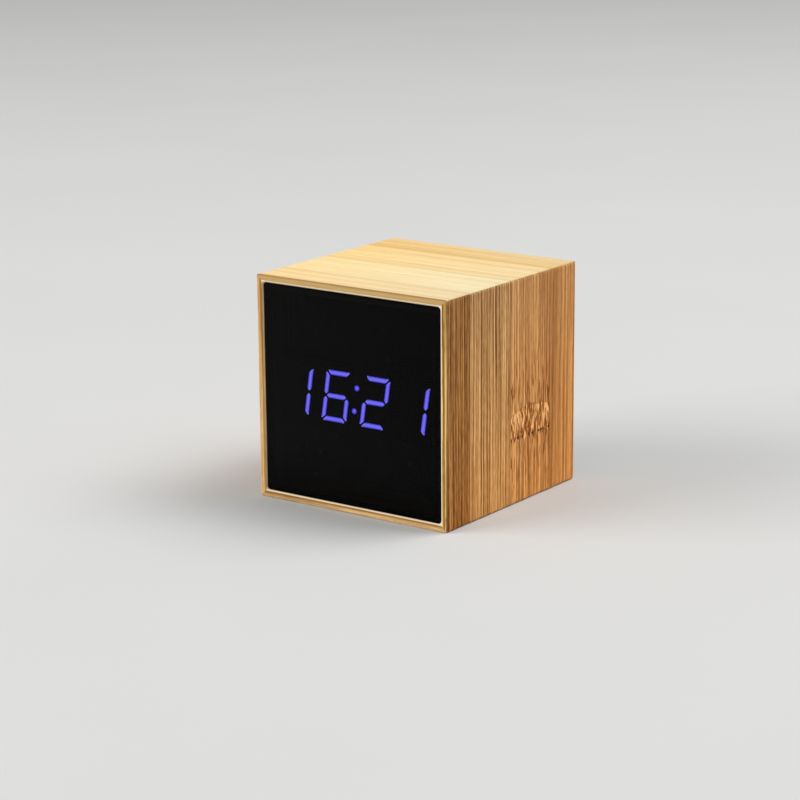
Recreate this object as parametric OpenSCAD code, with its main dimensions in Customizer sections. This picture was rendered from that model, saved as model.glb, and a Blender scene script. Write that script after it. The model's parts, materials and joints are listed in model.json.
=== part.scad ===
// Bamboo cube alarm clock. Four mitred boards hold a smoked front panel with a four-digit LED
// display behind it, and a moulded back cover with three keys, a power inlet and a battery tray.
// Millimetres. The origin is the middle of the base, the front faces -Y and +Z is up.

/* [Case] */
// Outside edge of the cube
cube_size = 62; // [56:0.5:75]
// Thickness of the four bamboo boards
board_t = 4.5; // [3.8:0.1:5]
// Width of the bamboo rim round the front panel and the back cover
rim_w = 2.05; // [1.8:0.05:2.8]
// Round on the four edges that run from front to back
case_edge_r = 0.9; // [0.4:0.1:2]
// Round on the outer edges of the front and rear rims
rim_edge_r = 0.4; // [0.2:0.05:0.8]
// Bevel on the inner edges of the rims
rim_bevel = 0.4; // [0.2:0.05:0.6]
// Corner radius of the front and rear rebates
rebate_corner_r = 1; // [0.6:0.1:2]
// Section of the square posts glued into the corners
post_w = 6; // [5:0.1:6.5]

/* [Front panel] */
// Depth of the panel's face behind the rim
panel_recess = 0.4; // [0.2:0.05:1]
// Thickness of the smoked acrylic
panel_t = 3; // [2:0.1:4]
// Gap between the panel and its rebate
panel_clear = 0.15; // [0.1:0.05:0.3]
// Thickness of the tape that holds the panel on its seat
tape_t = 0.3; // [0.2:0.05:0.6]
// Width of the tape
tape_w = 1; // [0.6:0.1:1.8]

/* [Display] */
// The four numerals shown
shown_time = [1, 6, 2, 1]; // [0:1:9]
// Height of a numeral
digit_h = 14.2; // [12:0.1:16]
// Width of an upright numeral
digit_w = 8.35; // [7:0.05:9]
// Distance between numerals
digit_pitch = 12.7; // [12:0.05:13.2]
// Lean of the numerals in degrees
digit_slant = 8.5; // [0:0.5:12]
// Width of a segment
segment_w = 1.35; // [1:0.05:2]
// Gap between the cut ends of two segments
segment_gap = 0.5; // [0.2:0.05:0.8]
// Cut on the sharp outer tips of a segment
segment_blunt = 0.4; // [0.1:0.05:0.6]
// Depth of the cast segments
segment_depth = 1; // [0.5:0.1:3]
// Diameter of a colon dot
dot_d = 1.65; // [1:0.05:2.5]
// Distance between the colon dots
dot_pitch = 6.4; // [4:0.1:8]
// Margin of the housing beside the outer numerals
housing_side = 0.8; // [0.5:0.1:1.2]
// Margin of the housing above and below the numerals
housing_cap = 2.4; // [1.5:0.1:4]
// Depth of the display housing
housing_depth = 8; // [6:0.1:9]
// Gap between the front panel and the display
display_gap = 0.25; // [0.1:0.05:0.8]
// Diameter of a display pin
pin_d = 0.5; // [0.4:0.05:0.8]
// Distance between pins in a row
pin_pitch = 2.54; // [2:0.01:3]
// Distance between the two rows of pins
pin_row = 15.24; // [12:0.01:17]
// Length of a pin behind the main board
pin_tail = 1.2; // [0.5:0.1:2]

/* [Main board] */
// Thickness of the circuit boards
pcb_t = 1.6; // [1:0.1:2]
// Gap between the main board and the case
pcb_clear = 0.4; // [0.2:0.1:1]
// Length of the clock chip
chip_l = 12.8; // [10:0.1:14]
// Width of the clock chip
chip_w = 7.5; // [5:0.1:9]
// Height of the clock chip
chip_h = 2.3; // [1.5:0.1:3]
// Distance between the chip's legs
leg_pitch = 1.27; // [1:0.01:1.4]
// Width of a chip's leg
leg_w = 0.4; // [0.3:0.05:0.6]
// Length of the crystal can
crystal_l = 10.2; // [8:0.1:12]
// Width of the crystal can
crystal_w = 3.7; // [3:0.1:5]
// Height of the crystal can
crystal_h = 3.5; // [2.5:0.1:5]
// Diameter of the filter capacitor
cap_d = 6.3; // [5:0.1:8]
// Height of the filter capacitor
cap_h = 7; // [5:0.1:11]
// Diameter of the alarm buzzer
buzzer_d = 12; // [9:0.1:13]
// Height of the alarm buzzer
buzzer_h = 8.5; // [6:0.1:10]
// Diameter of the buzzer's sound hole
buzzer_hole_d = 2.4; // [1.5:0.1:4]
// Diameter of the microphone
mic_d = 6; // [4:0.1:9]
// Height of the microphone
mic_h = 2.7; // [1.5:0.1:5]
// Length of a chip resistor
resistor_l = 2; // [1.6:0.1:3]
// Number of chip resistors in the row
resistor_count = 7; // [1:1:8]

/* [Back cover] */
// Depth of the cover's face behind the rear rim
cover_recess = 1; // [0.9:0.1:2]
// Thickness of the cover
cover_t = 2.6; // [2.4:0.1:3]
// Gap between the cover and its rebate
cover_clear = 0.2; // [0.1:0.05:0.4]
// Wall of the battery tray
tray_wall = 1.2; // [1:0.1:1.5]
// Gap between the tray and the lower posts
tray_clear = 0.3; // [0.2:0.1:0.6]
// Diameter of a sound hole
vent_d = 1.3; // [0.8:0.1:2]
// Distance between sound holes
vent_pitch = 3; // [2.5:0.1:5]
// Number of sound holes
vent_count = 7; // [1:2:9]

/* [Keys] */
// Diameter of a key
key_d = 5; // [4:0.1:5.4]
// Height of a key above the cover
key_proud = 0.8; // [0.5:0.1:0.9]
// Travel of a key
key_travel = 0.4; // [0.25:0.05:0.5]
// Distance between keys
key_pitch = 7.5; // [7:0.1:8]
// Gap between a key and its hole
key_clear = 0.1; // [0.05:0.01:0.2]
// Width of the flange that keeps a key in its hole
key_flange = 0.7; // [0.4:0.1:0.9]
// Thickness of the flange
key_flange_t = 0.9; // [0.6:0.1:1.5]
// Bevel on the edge of a key
key_bevel = 0.3; // [0.1:0.05:0.5]
// Depth of the mark cut in a key
mark_depth = 0.25; // [0.1:0.05:0.4]
// Size of the mark cut in a key
mark_size = 1; // [0.6:0.1:1.4]
// Width of a tact switch
switch_w = 6; // [5:0.1:6.4]
// Height of a tact switch
switch_h = 3.5; // [3:0.1:5]
// Diameter of a switch plunger
plunger_d = 3.4; // [2.5:0.1:4]
// Height of a plunger above its switch
plunger_proud = 0.6; // [0.55:0.05:1.2]
// Height of the key board
key_board_h = 9.4; // [8.5:0.1:10]

/* [Power inlet] */
// Width of the inlet's metal shell
inlet_w = 7.5; // [6.5:0.1:8]
// Height of the inlet's metal shell
inlet_h = 2.6; // [2:0.1:3.4]
// Wall of the metal shell
inlet_wall = 0.3; // [0.2:0.05:0.5]
// Cut on the shell's lower corners
inlet_cut = 1; // [0.4:0.1:1.2]
// Depth of the shell's mouth below the cover's face
inlet_inset = 0.5; // [0.2:0.1:1.5]
// Gap between the shell and its window
inlet_clear = 0.2; // [0.1:0.05:0.5]

/* [Battery tray] */
// Diameter of a cell
cell_d = 10.5; // [9.8:0.1:11.7]
// Length of a cell with its nub
cell_l = 44.5; // [42:0.1:50]
// Gap between neighbouring cells
cell_gap = 0.5; // [0.3:0.05:0.6]
// Gap between the cells and the tray
cell_clear = 0.2; // [0.1:0.05:0.4]
// Diameter of a cell's nub
nub_d = 3.8; // [3:0.1:5]
// Length of a cell's nub
nub_l = 1; // [0.6:0.1:1.5]
// Thickness of the contact plates
contact_t = 0.4; // [0.2:0.05:0.6]
// Width of a contact plate
contact_w = 8; // [6:0.1:9]
// Height of a contact plate
contact_h = 8.5; // [6:0.1:9]
// Length of a contact spring under load
spring_l = 3.1; // [2.8:0.1:3.6]
// Diameter of the spring wire
wire_d = 0.5; // [0.4:0.05:0.6]
// Widest turn of a spring, to the middle of the wire
spring_d = 7; // [6.4:0.1:8]
// Narrowest turn of a spring, to the middle of the wire
spring_tip_d = 2.6; // [2:0.1:3]

/* [Battery door] */
// Thickness of the door
door_t = 2; // [1.6:0.1:2.2]
// Gap round the door
door_gap = 0.25; // [0.15:0.05:0.4]
// Width of the ledge behind the edge of the door
door_ledge = 0.8; // [0.5:0.1:1]
// Gap between the door and its ledge
door_seat = 0.1; // [0.05:0.05:0.3]
// Diameter of the hinge stubs
hinge_d = 1.1; // [0.8:0.1:1.2]
// Length of a hinge stub
hinge_l = 1.2; // [0.8:0.1:1.6]
// Running gap round a hinge stub
hinge_clear = 0.05; // [0.02:0.01:0.1]
// Width of the springy latch tongue
latch_w = 9; // [6:0.5:14]
// Length of the slits beside the tongue
latch_l = 6; // [4:0.5:10]
// Width of a slit
latch_slit = 0.8; // [0.5:0.1:1.2]
// Width of the ribs inside the door
rib_w = 1.8; // [1:0.1:2]
// Height of the ribs inside the door
rib_h = 2.4; // [1:0.1:2.6]
// Number of grip ribs on the tongue
grip_count = 3; // [1:1:4]
// Height of a grip rib
grip_h = 0.35; // [0.2:0.05:0.5]

/* [Screws] */
// Diameter of a screw's thread
screw_d = 2; // [1.6:0.1:2.2]
// Length of a screw under its head
screw_l = 8; // [5:0.5:10]
// Diameter of a screw head
head_d = 3.6; // [3:0.1:4]
// Height of a screw head
head_h = 1.2; // [0.8:0.1:1.4]
// Gap between a thread and its hole
thread_clear = 0.05; // [0.02:0.01:0.1]
// Gap between a screw head and its counterbore
head_clear = 0.3; // [0.1:0.05:0.4]
// Depth of the cover's screw heads below its face
head_sink = 0.25; // [0.1:0.05:0.5]
// Length of the two key board screws
short_screw_l = 5; // [4:0.5:6]

/* [Wiring] */
// Diameter of a battery lead
lead_d = 1.3; // [0.8:0.1:1.8]
// Width of the ribbon cable
ribbon_w = 8; // [5:0.1:10]
// Thickness of the ribbon cable
ribbon_t = 0.9; // [0.6:0.1:1.2]
// Height of the ribbon's ends below the middle of the key board
ribbon_low = 0.6; // [0.2:0.1:1]
// Sag of the ribbon between its ends
ribbon_sag = 2.5; // [1:0.1:3]

/* [Hidden] */
$fn = 48;
// Cuts reach this far past the faces that they open
over = 0.5;

// What the case holds: the display, and the tray with its cells
lean = tan(digit_slant);
DIGITS = 4;
housing_w = (DIGITS - 1) * digit_pitch + digit_w + digit_h * lean + 2 * housing_side;
housing_h = digit_h + 2 * housing_cap;
CELLS = 3;
mouth_h = CELLS * cell_d + (CELLS - 1) * cell_gap + 2 * cell_clear;
tray_h = mouth_h + 2 * tray_wall;
tray_half = (cell_l + spring_l + 2 * contact_t) / 2;
stack_h = post_w + tray_h + key_board_h + 3 * tray_clear;

// The case, about its own axis. The bay is the room that the boards leave, and they are milled
// thinner where its contents need more. The ledge in a rebate is never narrower than the tape
half = cube_size / 2;
bay_half = max(half - board_t, housing_w / 2 + pcb_clear, tray_half + tray_wall + tray_clear, stack_h / 2);
wall = half - bay_half;
rebate_half = max(half - rim_w, bay_half + tape_w + panel_clear);
panel_half = rebate_half - panel_clear;
post_at = bay_half - post_w / 2;
bay_high_z = half + bay_half;

// Depths from the front rim inwards
panel_front_y = panel_recess - half;
panel_rear_y = panel_front_y + panel_t;
front_seat_y = panel_rear_y + tape_t;
display_front_y = panel_rear_y + display_gap;
pcb_front_y = display_front_y + housing_depth;
pcb_rear_y = pcb_front_y + pcb_t;

// Depths from the rear rim inwards
cover_outer_y = half - cover_recess;
cover_inner_y = cover_outer_y - cover_t;
head_seat_y = cover_outer_y - head_h - head_sink;
key_top_y = cover_outer_y + key_proud;
key_stop_gap = 0.1;
key_foot_y = cover_inner_y - key_stop_gap - key_flange_t;
switch_top_y = key_foot_y - plunger_proud;
key_pcb_rear_y = switch_top_y - switch_h;
key_pcb_front_y = key_pcb_rear_y - pcb_t;

// Pins and numerals of the display
PINS = 6;
pin_hole_clear = 0.15;
LETTERS = "abcdefg";
SEGMENTS_ON = ["abcdef", "bc", "abdeg", "abcdg", "bcfg", "acdfg", "acdefg", "abc", "abcdefg", "abcdfg"];

// Cells and tray, measured from the base
cell_pitch = cell_d + cell_gap;
tray_low_z = wall + post_w + tray_clear;
mouth_low_z = tray_low_z + tray_wall;
mouth_high_z = mouth_low_z + mouth_h;
tray_high_z = tray_low_z + tray_h;
door_inner_y = cover_outer_y - door_t;
door_cell_gap = 0.4;
cell_y = door_inner_y - door_cell_gap - cell_d / 2;
tray_floor_y = cell_y - cell_d / 2 - cell_clear;
tray_front_y = tray_floor_y - tray_wall;
cradle_drop = 2;
end_pocket = spring_l + 2 * contact_t;
tail_w = 3;
tail_l = 2;
tail_clear = 0.15;

// Door and its window
window_half = tray_half + door_ledge;
window_low_z = mouth_low_z - door_ledge;
window_high_z = mouth_high_z + door_ledge;
door_half = window_half - door_gap;
door_high_z = window_high_z - door_gap;
hinge_y = cover_outer_y - door_t / 2;
hinge_z = window_low_z + door_gap + door_t / 2;
scoop_rise = 1.6;
scoop_depth = 1;
grip_w = 0.8;
grip_pitch = 1.6;

// Row of keys and inlet, from left to right as seen from the front
KEYS = 3;
boss_wall = 0.8;
boss_d = screw_d + 2 * boss_wall;
row_gap = 0.4;
inlet_gap = 1;
row_w = 2 * (boss_d + row_gap) + switch_w + (KEYS - 1) * key_pitch + inlet_gap + inlet_w;
row_z = (tray_high_z + bay_high_z) / 2;
boss_x = row_w / 2 - boss_d / 2;
first_key_x = row_w / 2 - boss_d - row_gap - switch_w / 2;
inlet_x = first_key_x - (KEYS - 1) * key_pitch - switch_w / 2 - inlet_gap - inlet_w / 2;
plunger_clear = 0.05;
plunger_in = 1.2;
vent_z = wall + post_w / 2;

// Places on the main board, from its middle: across and up
CHIP_LEGS = 10;
CHIP_AT = [-8, 0];
CRYSTAL_AT = [11, 0];
CAP_AT = [14, 11];
BUZZER_AT = [14, -12];
MIC_AT = [-14, -13];
RESISTORS_AT = [-12, 11.5];
resistor_pitch = 2.2;
lead_foot = 1.5;

// Cables, as points chosen by hand: shares of the way to the main board, and of the ribbon's sag
RIBBON_POINTS = [[0.12, 0.2], [0.28, 0.7], [0.54, 1], [0.75, 0.75], [0.9, 0.2]];
ribbon_z = row_z - ribbon_low;
LEAD_SHARES = [0.1, 0.42, 0.77, 0.95];
POSITIVE_FOOT = [22, -7];
NEGATIVE_FOOT = [-22, 5];
LEAD_SIDES = 8;
LEAD_STEPS = 3;

// Colours
BAMBOO = [0.80, 0.60, 0.36];
POST_WOOD = [0.78, 0.66, 0.46];
SMOKED = [0.03, 0.03, 0.04];
LIT = [0.40, 0.36, 0.98];
UNLIT = [0.10, 0.10, 0.12];
BLACK = [0.05, 0.05, 0.06];
DARK_GREY = [0.20, 0.20, 0.22];
BOARD_GREEN = [0.05, 0.25, 0.14];
NICKEL = [0.75, 0.74, 0.72];
CELL_WRAP = [0.16, 0.22, 0.30];

// An outline in X and Z, drawn from y0 to y1
module along_y(y0, y1) {
    translate([0, y1, 0]) rotate([90, 0, 0]) linear_extrude(height = y1 - y0) children();
}

// An outline in Y and Z, drawn from x0 to x1
module along_x(x0, x1) {
    translate([x0, 0, 0]) rotate([90, 0, 90]) linear_extrude(height = x1 - x0) children();
}

// Children lifted to the middle of the case
module at_middle() {
    translate([0, 0, half]) children();
}

module round_square(side, r) {
    square([side - 2 * r, side], center = true);
    square([side, side - 2 * r], center = true);
    for (x = [-1, 1], z = [-1, 1]) {
        translate([x, z] * (side / 2 - r)) circle(r);
    }
}

// A box from one corner to the other
module box(low, high) {
    translate(low) cube(high - low);
}

module at_corners(distance) {
    for (x = [-1, 1], z = [-1, 1]) {
        translate([x * distance, 0, half + z * distance]) children();
    }
}

// A pan-head screw with a cross recess, its seat at z = 0 and its thread downwards
module pan_screw(length) {
    recess_w = head_d / 6;
    recess_l = head_d * 0.6;
    recess_d = head_h / 2;
    difference() {
        union() {
            translate([0, 0, -length]) cylinder(h = length + head_h / 2, d = screw_d);
            cylinder(h = head_h, d = head_d);
        }
        for (turn = [0, 90]) {
            rotate(turn) translate([-recess_l / 2, -recess_w / 2, head_h - recess_d])
                cube([recess_l, recess_w, recess_d + over]);
        }
    }
}

// Hole for a screw's thread along Y
module thread_hole(y0, y1) {
    along_y(y0, y1) circle(d = screw_d + 2 * thread_clear);
}

// Section of a board across its grain, rounded at the outer edges of its two rims
module board_section() {
    translate([-half, 0]) square([cube_size, half - rim_edge_r]);
    translate([rim_edge_r - half, 0]) square([cube_size - 2 * rim_edge_r, half]);
    for (side = [-1, 1]) {
        translate([side * (half - rim_edge_r), half - rim_edge_r]) circle(rim_edge_r);
    }
}

// Bevel of the rebate's edge at the front rim, along the top and round its two corners
module rim_bevel_cut() {
    straight = rebate_half - rebate_corner_r;
    along_x(-straight, straight)
        polygon([
            [-half - rim_bevel, rebate_half - rim_bevel],
            [-half - rim_bevel, rebate_half + 2 * rim_bevel],
            [rim_bevel - half, rebate_half],
            [rim_bevel - half, rebate_half - rim_bevel]
        ]);
    for (side = [-1, 1]) {
        translate([side * straight, -half - rim_bevel, straight]) rotate([-90, 0, 0])
            cylinder(h = 2 * rim_bevel, r1 = rebate_corner_r + 2 * rim_bevel, r2 = rebate_corner_r);
    }
}

// The top board about the case's axis: the other three are the same board turned
module mitred_board() {
    difference() {
        intersection() {
            along_x(-half, half) board_section();
            along_y(-half, half) round_square(cube_size, case_edge_r);
            along_y(-half, half) polygon([[0, 0], [half, half], [-half, half]]);
        }
        along_y(-half - over, half + over) square(2 * bay_half, center = true);
        along_y(-half - over, front_seat_y) round_square(2 * rebate_half, rebate_corner_r);
        along_y(cover_inner_y, half + over) round_square(2 * rebate_half, rebate_corner_r);
        rim_bevel_cut();
        mirror([0, 1, 0]) rim_bevel_cut();
    }
}

module top_board() {
    color(BAMBOO) at_middle() mitred_board();
}

module right_board() {
    color(BAMBOO) at_middle() rotate([0, 90, 0]) mitred_board();
}

module bottom_board() {
    color(BAMBOO) at_middle() rotate([0, 180, 0]) mitred_board();
}

module left_board() {
    color(BAMBOO) at_middle() rotate([0, 270, 0]) mitred_board();
}

// A corner post: the main board is screwed to its front end and the cover to its rear end
module corner_post(side, level) {
    color(POST_WOOD) translate([side * post_at, 0, half + level * post_at]) difference() {
        along_y(pcb_rear_y, cover_inner_y) square(post_w, center = true);
        thread_hole(pcb_rear_y - over, pcb_front_y + screw_l + over);
        thread_hole(head_seat_y - screw_l - over, cover_inner_y + over);
    }
}

module front_panel() {
    color(SMOKED) at_middle() along_y(panel_front_y, panel_rear_y)
        round_square(2 * panel_half, rebate_corner_r - panel_clear);
}

module panel_tape() {
    color(BLACK) at_middle() along_y(panel_rear_y, front_seat_y) difference() {
        round_square(2 * panel_half, rebate_corner_r - panel_clear);
        square(2 * (panel_half - tape_w), center = true);
    }
}

// Place of a numeral's middle, counted from the left
function digit_x(place) = (place - (DIGITS - 1) / 2) * digit_pitch;

// Outlines of the seven segments of an upright numeral about its middle
function bar_points(level) = let(
    z = digit_h / 2,
    end = digit_w / 2 - segment_gap / sqrt(2),
    tip = end - segment_blunt,
    inner = end - segment_w
) [
    [-tip, level * z],
    [tip, level * z],
    [tip, level * (z - segment_blunt)],
    [inner, level * (z - segment_w)],
    [-inner, level * (z - segment_w)],
    [-tip, level * (z - segment_blunt)]
];

function middle_points() = let(
    tip = digit_w / 2 - segment_w / 2 - segment_gap / sqrt(2),
    shoulder = tip - segment_w / 2,
    z = segment_w / 2
) [[-tip, 0], [-shoulder, z], [shoulder, z], [tip, 0], [shoulder, -z], [-shoulder, -z]];

function upright_points(side, level) = let(
    x = digit_w / 2,
    cut = segment_gap / sqrt(2),
    end = digit_h / 2 - cut,
    tip = end - segment_blunt
) [
    [side * x, level * tip],
    [side * (x - segment_blunt), level * tip],
    [side * (x - segment_w), level * (end - segment_w)],
    [side * (x - segment_w), level * (segment_w / 2 + cut)],
    [side * (x - segment_w / 2), level * cut],
    [side * x, level * (segment_w / 2 + cut)]
];

function segment_points(letter) =
    letter == "a" ? bar_points(1) :
    letter == "b" ? upright_points(1, 1) :
    letter == "c" ? upright_points(1, -1) :
    letter == "d" ? bar_points(-1) :
    letter == "e" ? upright_points(-1, -1) :
    letter == "f" ? upright_points(-1, 1) :
    middle_points();

function leaning(points) = [for (p = points) [p.x + p[1] * lean, p[1]]];

function is_lit(place, letter) = len(search(letter, SEGMENTS_ON[shown_time[place]])) > 0;

// Every segment outline that is lit, or every one that is not
module segment_outlines(lit) {
    for (place = [0 : DIGITS - 1], letter = LETTERS) {
        if (is_lit(place, letter) == lit) {
            translate([digit_x(place), 0]) polygon(leaning(segment_points(letter)));
        }
    }
}

module dot_outlines() {
    for (level = [-1, 1]) {
        translate([level * dot_pitch / 2 * lean, level * dot_pitch / 2]) circle(d = dot_d);
    }
}

module cast_in_housing() {
    at_middle() along_y(display_front_y, display_front_y + segment_depth) children();
}

module display_housing() {
    color(BLACK) difference() {
        at_middle() along_y(display_front_y, pcb_front_y) square([housing_w, housing_h], center = true);
        at_middle() along_y(display_front_y - over, display_front_y + segment_depth) {
            segment_outlines(true);
            segment_outlines(false);
            dot_outlines();
        }
    }
}

module lit_segments() {
    color(LIT) cast_in_housing() segment_outlines(true);
}

module unlit_segments() {
    color(UNLIT) cast_in_housing() segment_outlines(false);
}

module colon_dots() {
    color(LIT) cast_in_housing() dot_outlines();
}

module at_pins() {
    for (row = [-1, 1], i = [0 : PINS - 1]) {
        translate([(i - (PINS - 1) / 2) * pin_pitch, row * pin_row / 2]) children();
    }
}

module display_pins() {
    color(NICKEL) at_middle() along_y(pcb_front_y, pcb_rear_y + pin_tail) at_pins() circle(d = pin_d);
}

module main_board() {
    color(BOARD_GREEN) difference() {
        at_middle() along_y(pcb_front_y, pcb_rear_y) difference() {
            square(2 * (bay_half - pcb_clear), center = true);
            at_pins() circle(d = pin_d + 2 * pin_hole_clear);
        }
        at_corners(post_at) thread_hole(pcb_front_y - over, pcb_rear_y + over);
    }
}

module board_screws() {
    color(NICKEL) at_corners(post_at) translate([0, pcb_front_y, 0]) rotate([90, 0, 0]) pan_screw(screw_l);
}

// Children stand on the rear of the main board, with +Z as the way up from it
module on_main_board(place) {
    translate([place.x, pcb_rear_y, half + place[1]]) rotate([-90, 0, 0]) children();
}

module clock_chip() {
    leg_t = chip_h / 2;
    color(BLACK) on_main_board(CHIP_AT) {
        translate([-chip_l / 2, -chip_w / 2, 0]) cube([chip_l, chip_w, chip_h]);
        for (i = [0 : CHIP_LEGS - 1]) {
            translate([(i - (CHIP_LEGS - 1) / 2) * leg_pitch - leg_w / 2, -chip_w / 2 - lead_foot, 0])
                cube([leg_w, chip_w + 2 * lead_foot, leg_t]);
        }
    }
}

// An outline with round ends
module stadium(length, width) {
    square([length - width, width], center = true);
    for (side = [-1, 1]) {
        translate([side * (length - width) / 2, 0]) circle(d = width);
    }
}

module crystal() {
    flange = 0.5;
    color(NICKEL) on_main_board(CRYSTAL_AT) {
        linear_extrude(height = flange) stadium(crystal_l + 2 * flange, crystal_w + 2 * flange);
        linear_extrude(height = crystal_h) stadium(crystal_l, crystal_w);
    }
}

module filter_capacitor() {
    crimp_z = 1;
    crimp_h = 0.6;
    crimp_depth = 0.3;
    r = cap_d / 2;
    color(DARK_GREY) on_main_board(CAP_AT) rotate_extrude()
        polygon([
            [0, 0], [r, 0], [r, crimp_z], [r - crimp_depth, crimp_z],
            [r - crimp_depth, crimp_z + crimp_h], [r, crimp_z + crimp_h], [r, cap_h], [0, cap_h]
        ]);
}

module buzzer() {
    chamber = buzzer_h / 3;
    color(BLACK) on_main_board(BUZZER_AT) difference() {
        cylinder(h = buzzer_h, d = buzzer_d);
        translate([0, 0, buzzer_h - chamber]) cylinder(h = chamber + over, d = buzzer_hole_d);
    }
}

module microphone() {
    felt_d = mic_d / 2;
    felt_depth = 0.4;
    color(NICKEL) on_main_board(MIC_AT) difference() {
        cylinder(h = mic_h, d = mic_d);
        translate([0, 0, mic_h - felt_depth]) cylinder(h = felt_depth + over, d = felt_d);
    }
}

module resistors() {
    resistor_w = 1.25;
    resistor_h = 0.5;
    color(BLACK) on_main_board(RESISTORS_AT) for (i = [0 : resistor_count - 1]) {
        translate([(i - (resistor_count - 1) / 2) * resistor_pitch - resistor_w / 2, -resistor_l / 2, 0])
            cube([resistor_w, resistor_l, resistor_h]);
    }
}

// Place of a key's axis, counted from the right as seen from the front
function key_x(i) = first_key_x - i * key_pitch;

module at_key_bosses() {
    for (side = [-1, 1]) {
        translate([side * boss_x, 0, row_z]) children();
    }
}

module key_board() {
    color(BOARD_GREEN) difference() {
        translate([0, 0, row_z]) along_y(key_pcb_front_y, key_pcb_rear_y)
            square([row_w, key_board_h], center = true);
        at_key_bosses() thread_hole(key_pcb_front_y - over, key_pcb_rear_y + over);
    }
}

module key_board_screws() {
    color(NICKEL) at_key_bosses() translate([0, key_pcb_front_y, 0]) rotate([90, 0, 0])
        pan_screw(short_screw_l);
}

module tact_switch(i) {
    color(DARK_GREY) translate([key_x(i), 0, row_z]) difference() {
        along_y(key_pcb_rear_y, switch_top_y) square(switch_w, center = true);
        along_y(switch_top_y - plunger_in - key_travel - over, switch_top_y + over)
            circle(d = plunger_d + 2 * plunger_clear);
    }
}

module plunger(i) {
    color(BLACK) translate([key_x(i), 0, row_z])
        along_y(switch_top_y - plunger_in, key_foot_y) circle(d = plunger_d);
}

// A key with its flange, less the mark given as an outline
module key_cap(i) {
    r = key_d / 2;
    flange_r = r + key_flange;
    top = key_top_y - key_foot_y;
    color(DARK_GREY) translate([key_x(i), 0, row_z]) difference() {
        translate([0, key_foot_y, 0]) rotate([-90, 0, 0]) rotate_extrude()
            polygon([
                [0, 0], [flange_r, 0], [flange_r, key_flange_t], [r, key_flange_t],
                [r, top - key_bevel], [r - key_bevel, top], [0, top]
            ]);
        along_y(key_top_y - mark_depth, key_top_y + over) children();
    }
}

module arrow_mark(way) {
    polygon([[-mark_size, -way * mark_size / 2], [mark_size, -way * mark_size / 2], [0, way * mark_size]]);
}

module set_key() {
    key_cap(0) circle(d = mark_size);
}

module up_key() {
    key_cap(1) arrow_mark(1);
}

module down_key() {
    key_cap(2) arrow_mark(-1);
}

// Outline of the inlet's shell, set in by a wall or grown by a gap
module inlet_outline(inset) {
    x = inlet_w / 2 - inset;
    z = inlet_h / 2 - inset;
    cut = inlet_cut - inset * (2 - sqrt(2));
    polygon([[-x, z], [x, z], [x, cut - z], [x - cut, -z], [cut - x, -z], [-x, cut - z]]);
}

module inlet_shell() {
    color(NICKEL) translate([inlet_x, 0, row_z])
        along_y(key_pcb_rear_y, cover_outer_y - inlet_inset) difference() {
            inlet_outline(0);
            inlet_outline(inlet_wall);
        }
}

module inlet_tongue() {
    tongue_depth = 1;
    tongue_t = 0.6;
    base_h = 1;
    fit = inlet_wall + plunger_clear;
    color(BLACK) translate([inlet_x, 0, row_z]) {
        along_y(key_pcb_rear_y, key_pcb_rear_y + base_h) inlet_outline(fit);
        along_y(key_pcb_rear_y, cover_outer_y - inlet_inset - tongue_depth)
            square([inlet_w / 2, tongue_t], center = true);
    }
}

// Place of a cell's axis above the base, counted from the lowest
function cell_z(i) = mouth_low_z + cell_clear + cell_d / 2 + i * cell_pitch;

// Side on which a cell's nub lies: 1 is the right as seen from the front
function nub_side(i) = i % 2 == 0 ? 1 : -1;

// Hollow of the battery tray: a cradle for each cell and a square pocket at both ends
module tray_hollow() {
    box(
        [-tray_half, cell_y - cradle_drop, mouth_low_z],
        [tray_half, cover_outer_y + over, mouth_high_z]
    );
    for (i = [0 : CELLS - 1]) {
        translate([-tray_half, cell_y, cell_z(i)]) rotate([0, 90, 0])
            cylinder(h = 2 * tray_half, d = cell_d + 2 * cell_clear);
    }
    for (side = [-1, 1]) {
        x = side * (tray_half - end_pocket / 2);
        box(
            [x - end_pocket / 2, tray_floor_y, mouth_low_z],
            [x + end_pocket / 2, cell_y, mouth_high_z]
        );
    }
}

// Slot in the tray's floor for the tail of a terminal
module tail_slot(side, i) {
    x = side * (tray_half - contact_t / 2);
    box(
        [x - contact_t / 2 - tail_clear, tray_front_y - over, cell_z(i) - tail_w / 2 - tail_clear],
        [x + contact_t / 2 + tail_clear, tray_floor_y + over, cell_z(i) + tail_w / 2 + tail_clear]
    );
}

module cover_plate() {
    at_middle() along_y(cover_inner_y, cover_outer_y)
        round_square(2 * (rebate_half - cover_clear), rebate_corner_r - cover_clear);
}

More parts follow.
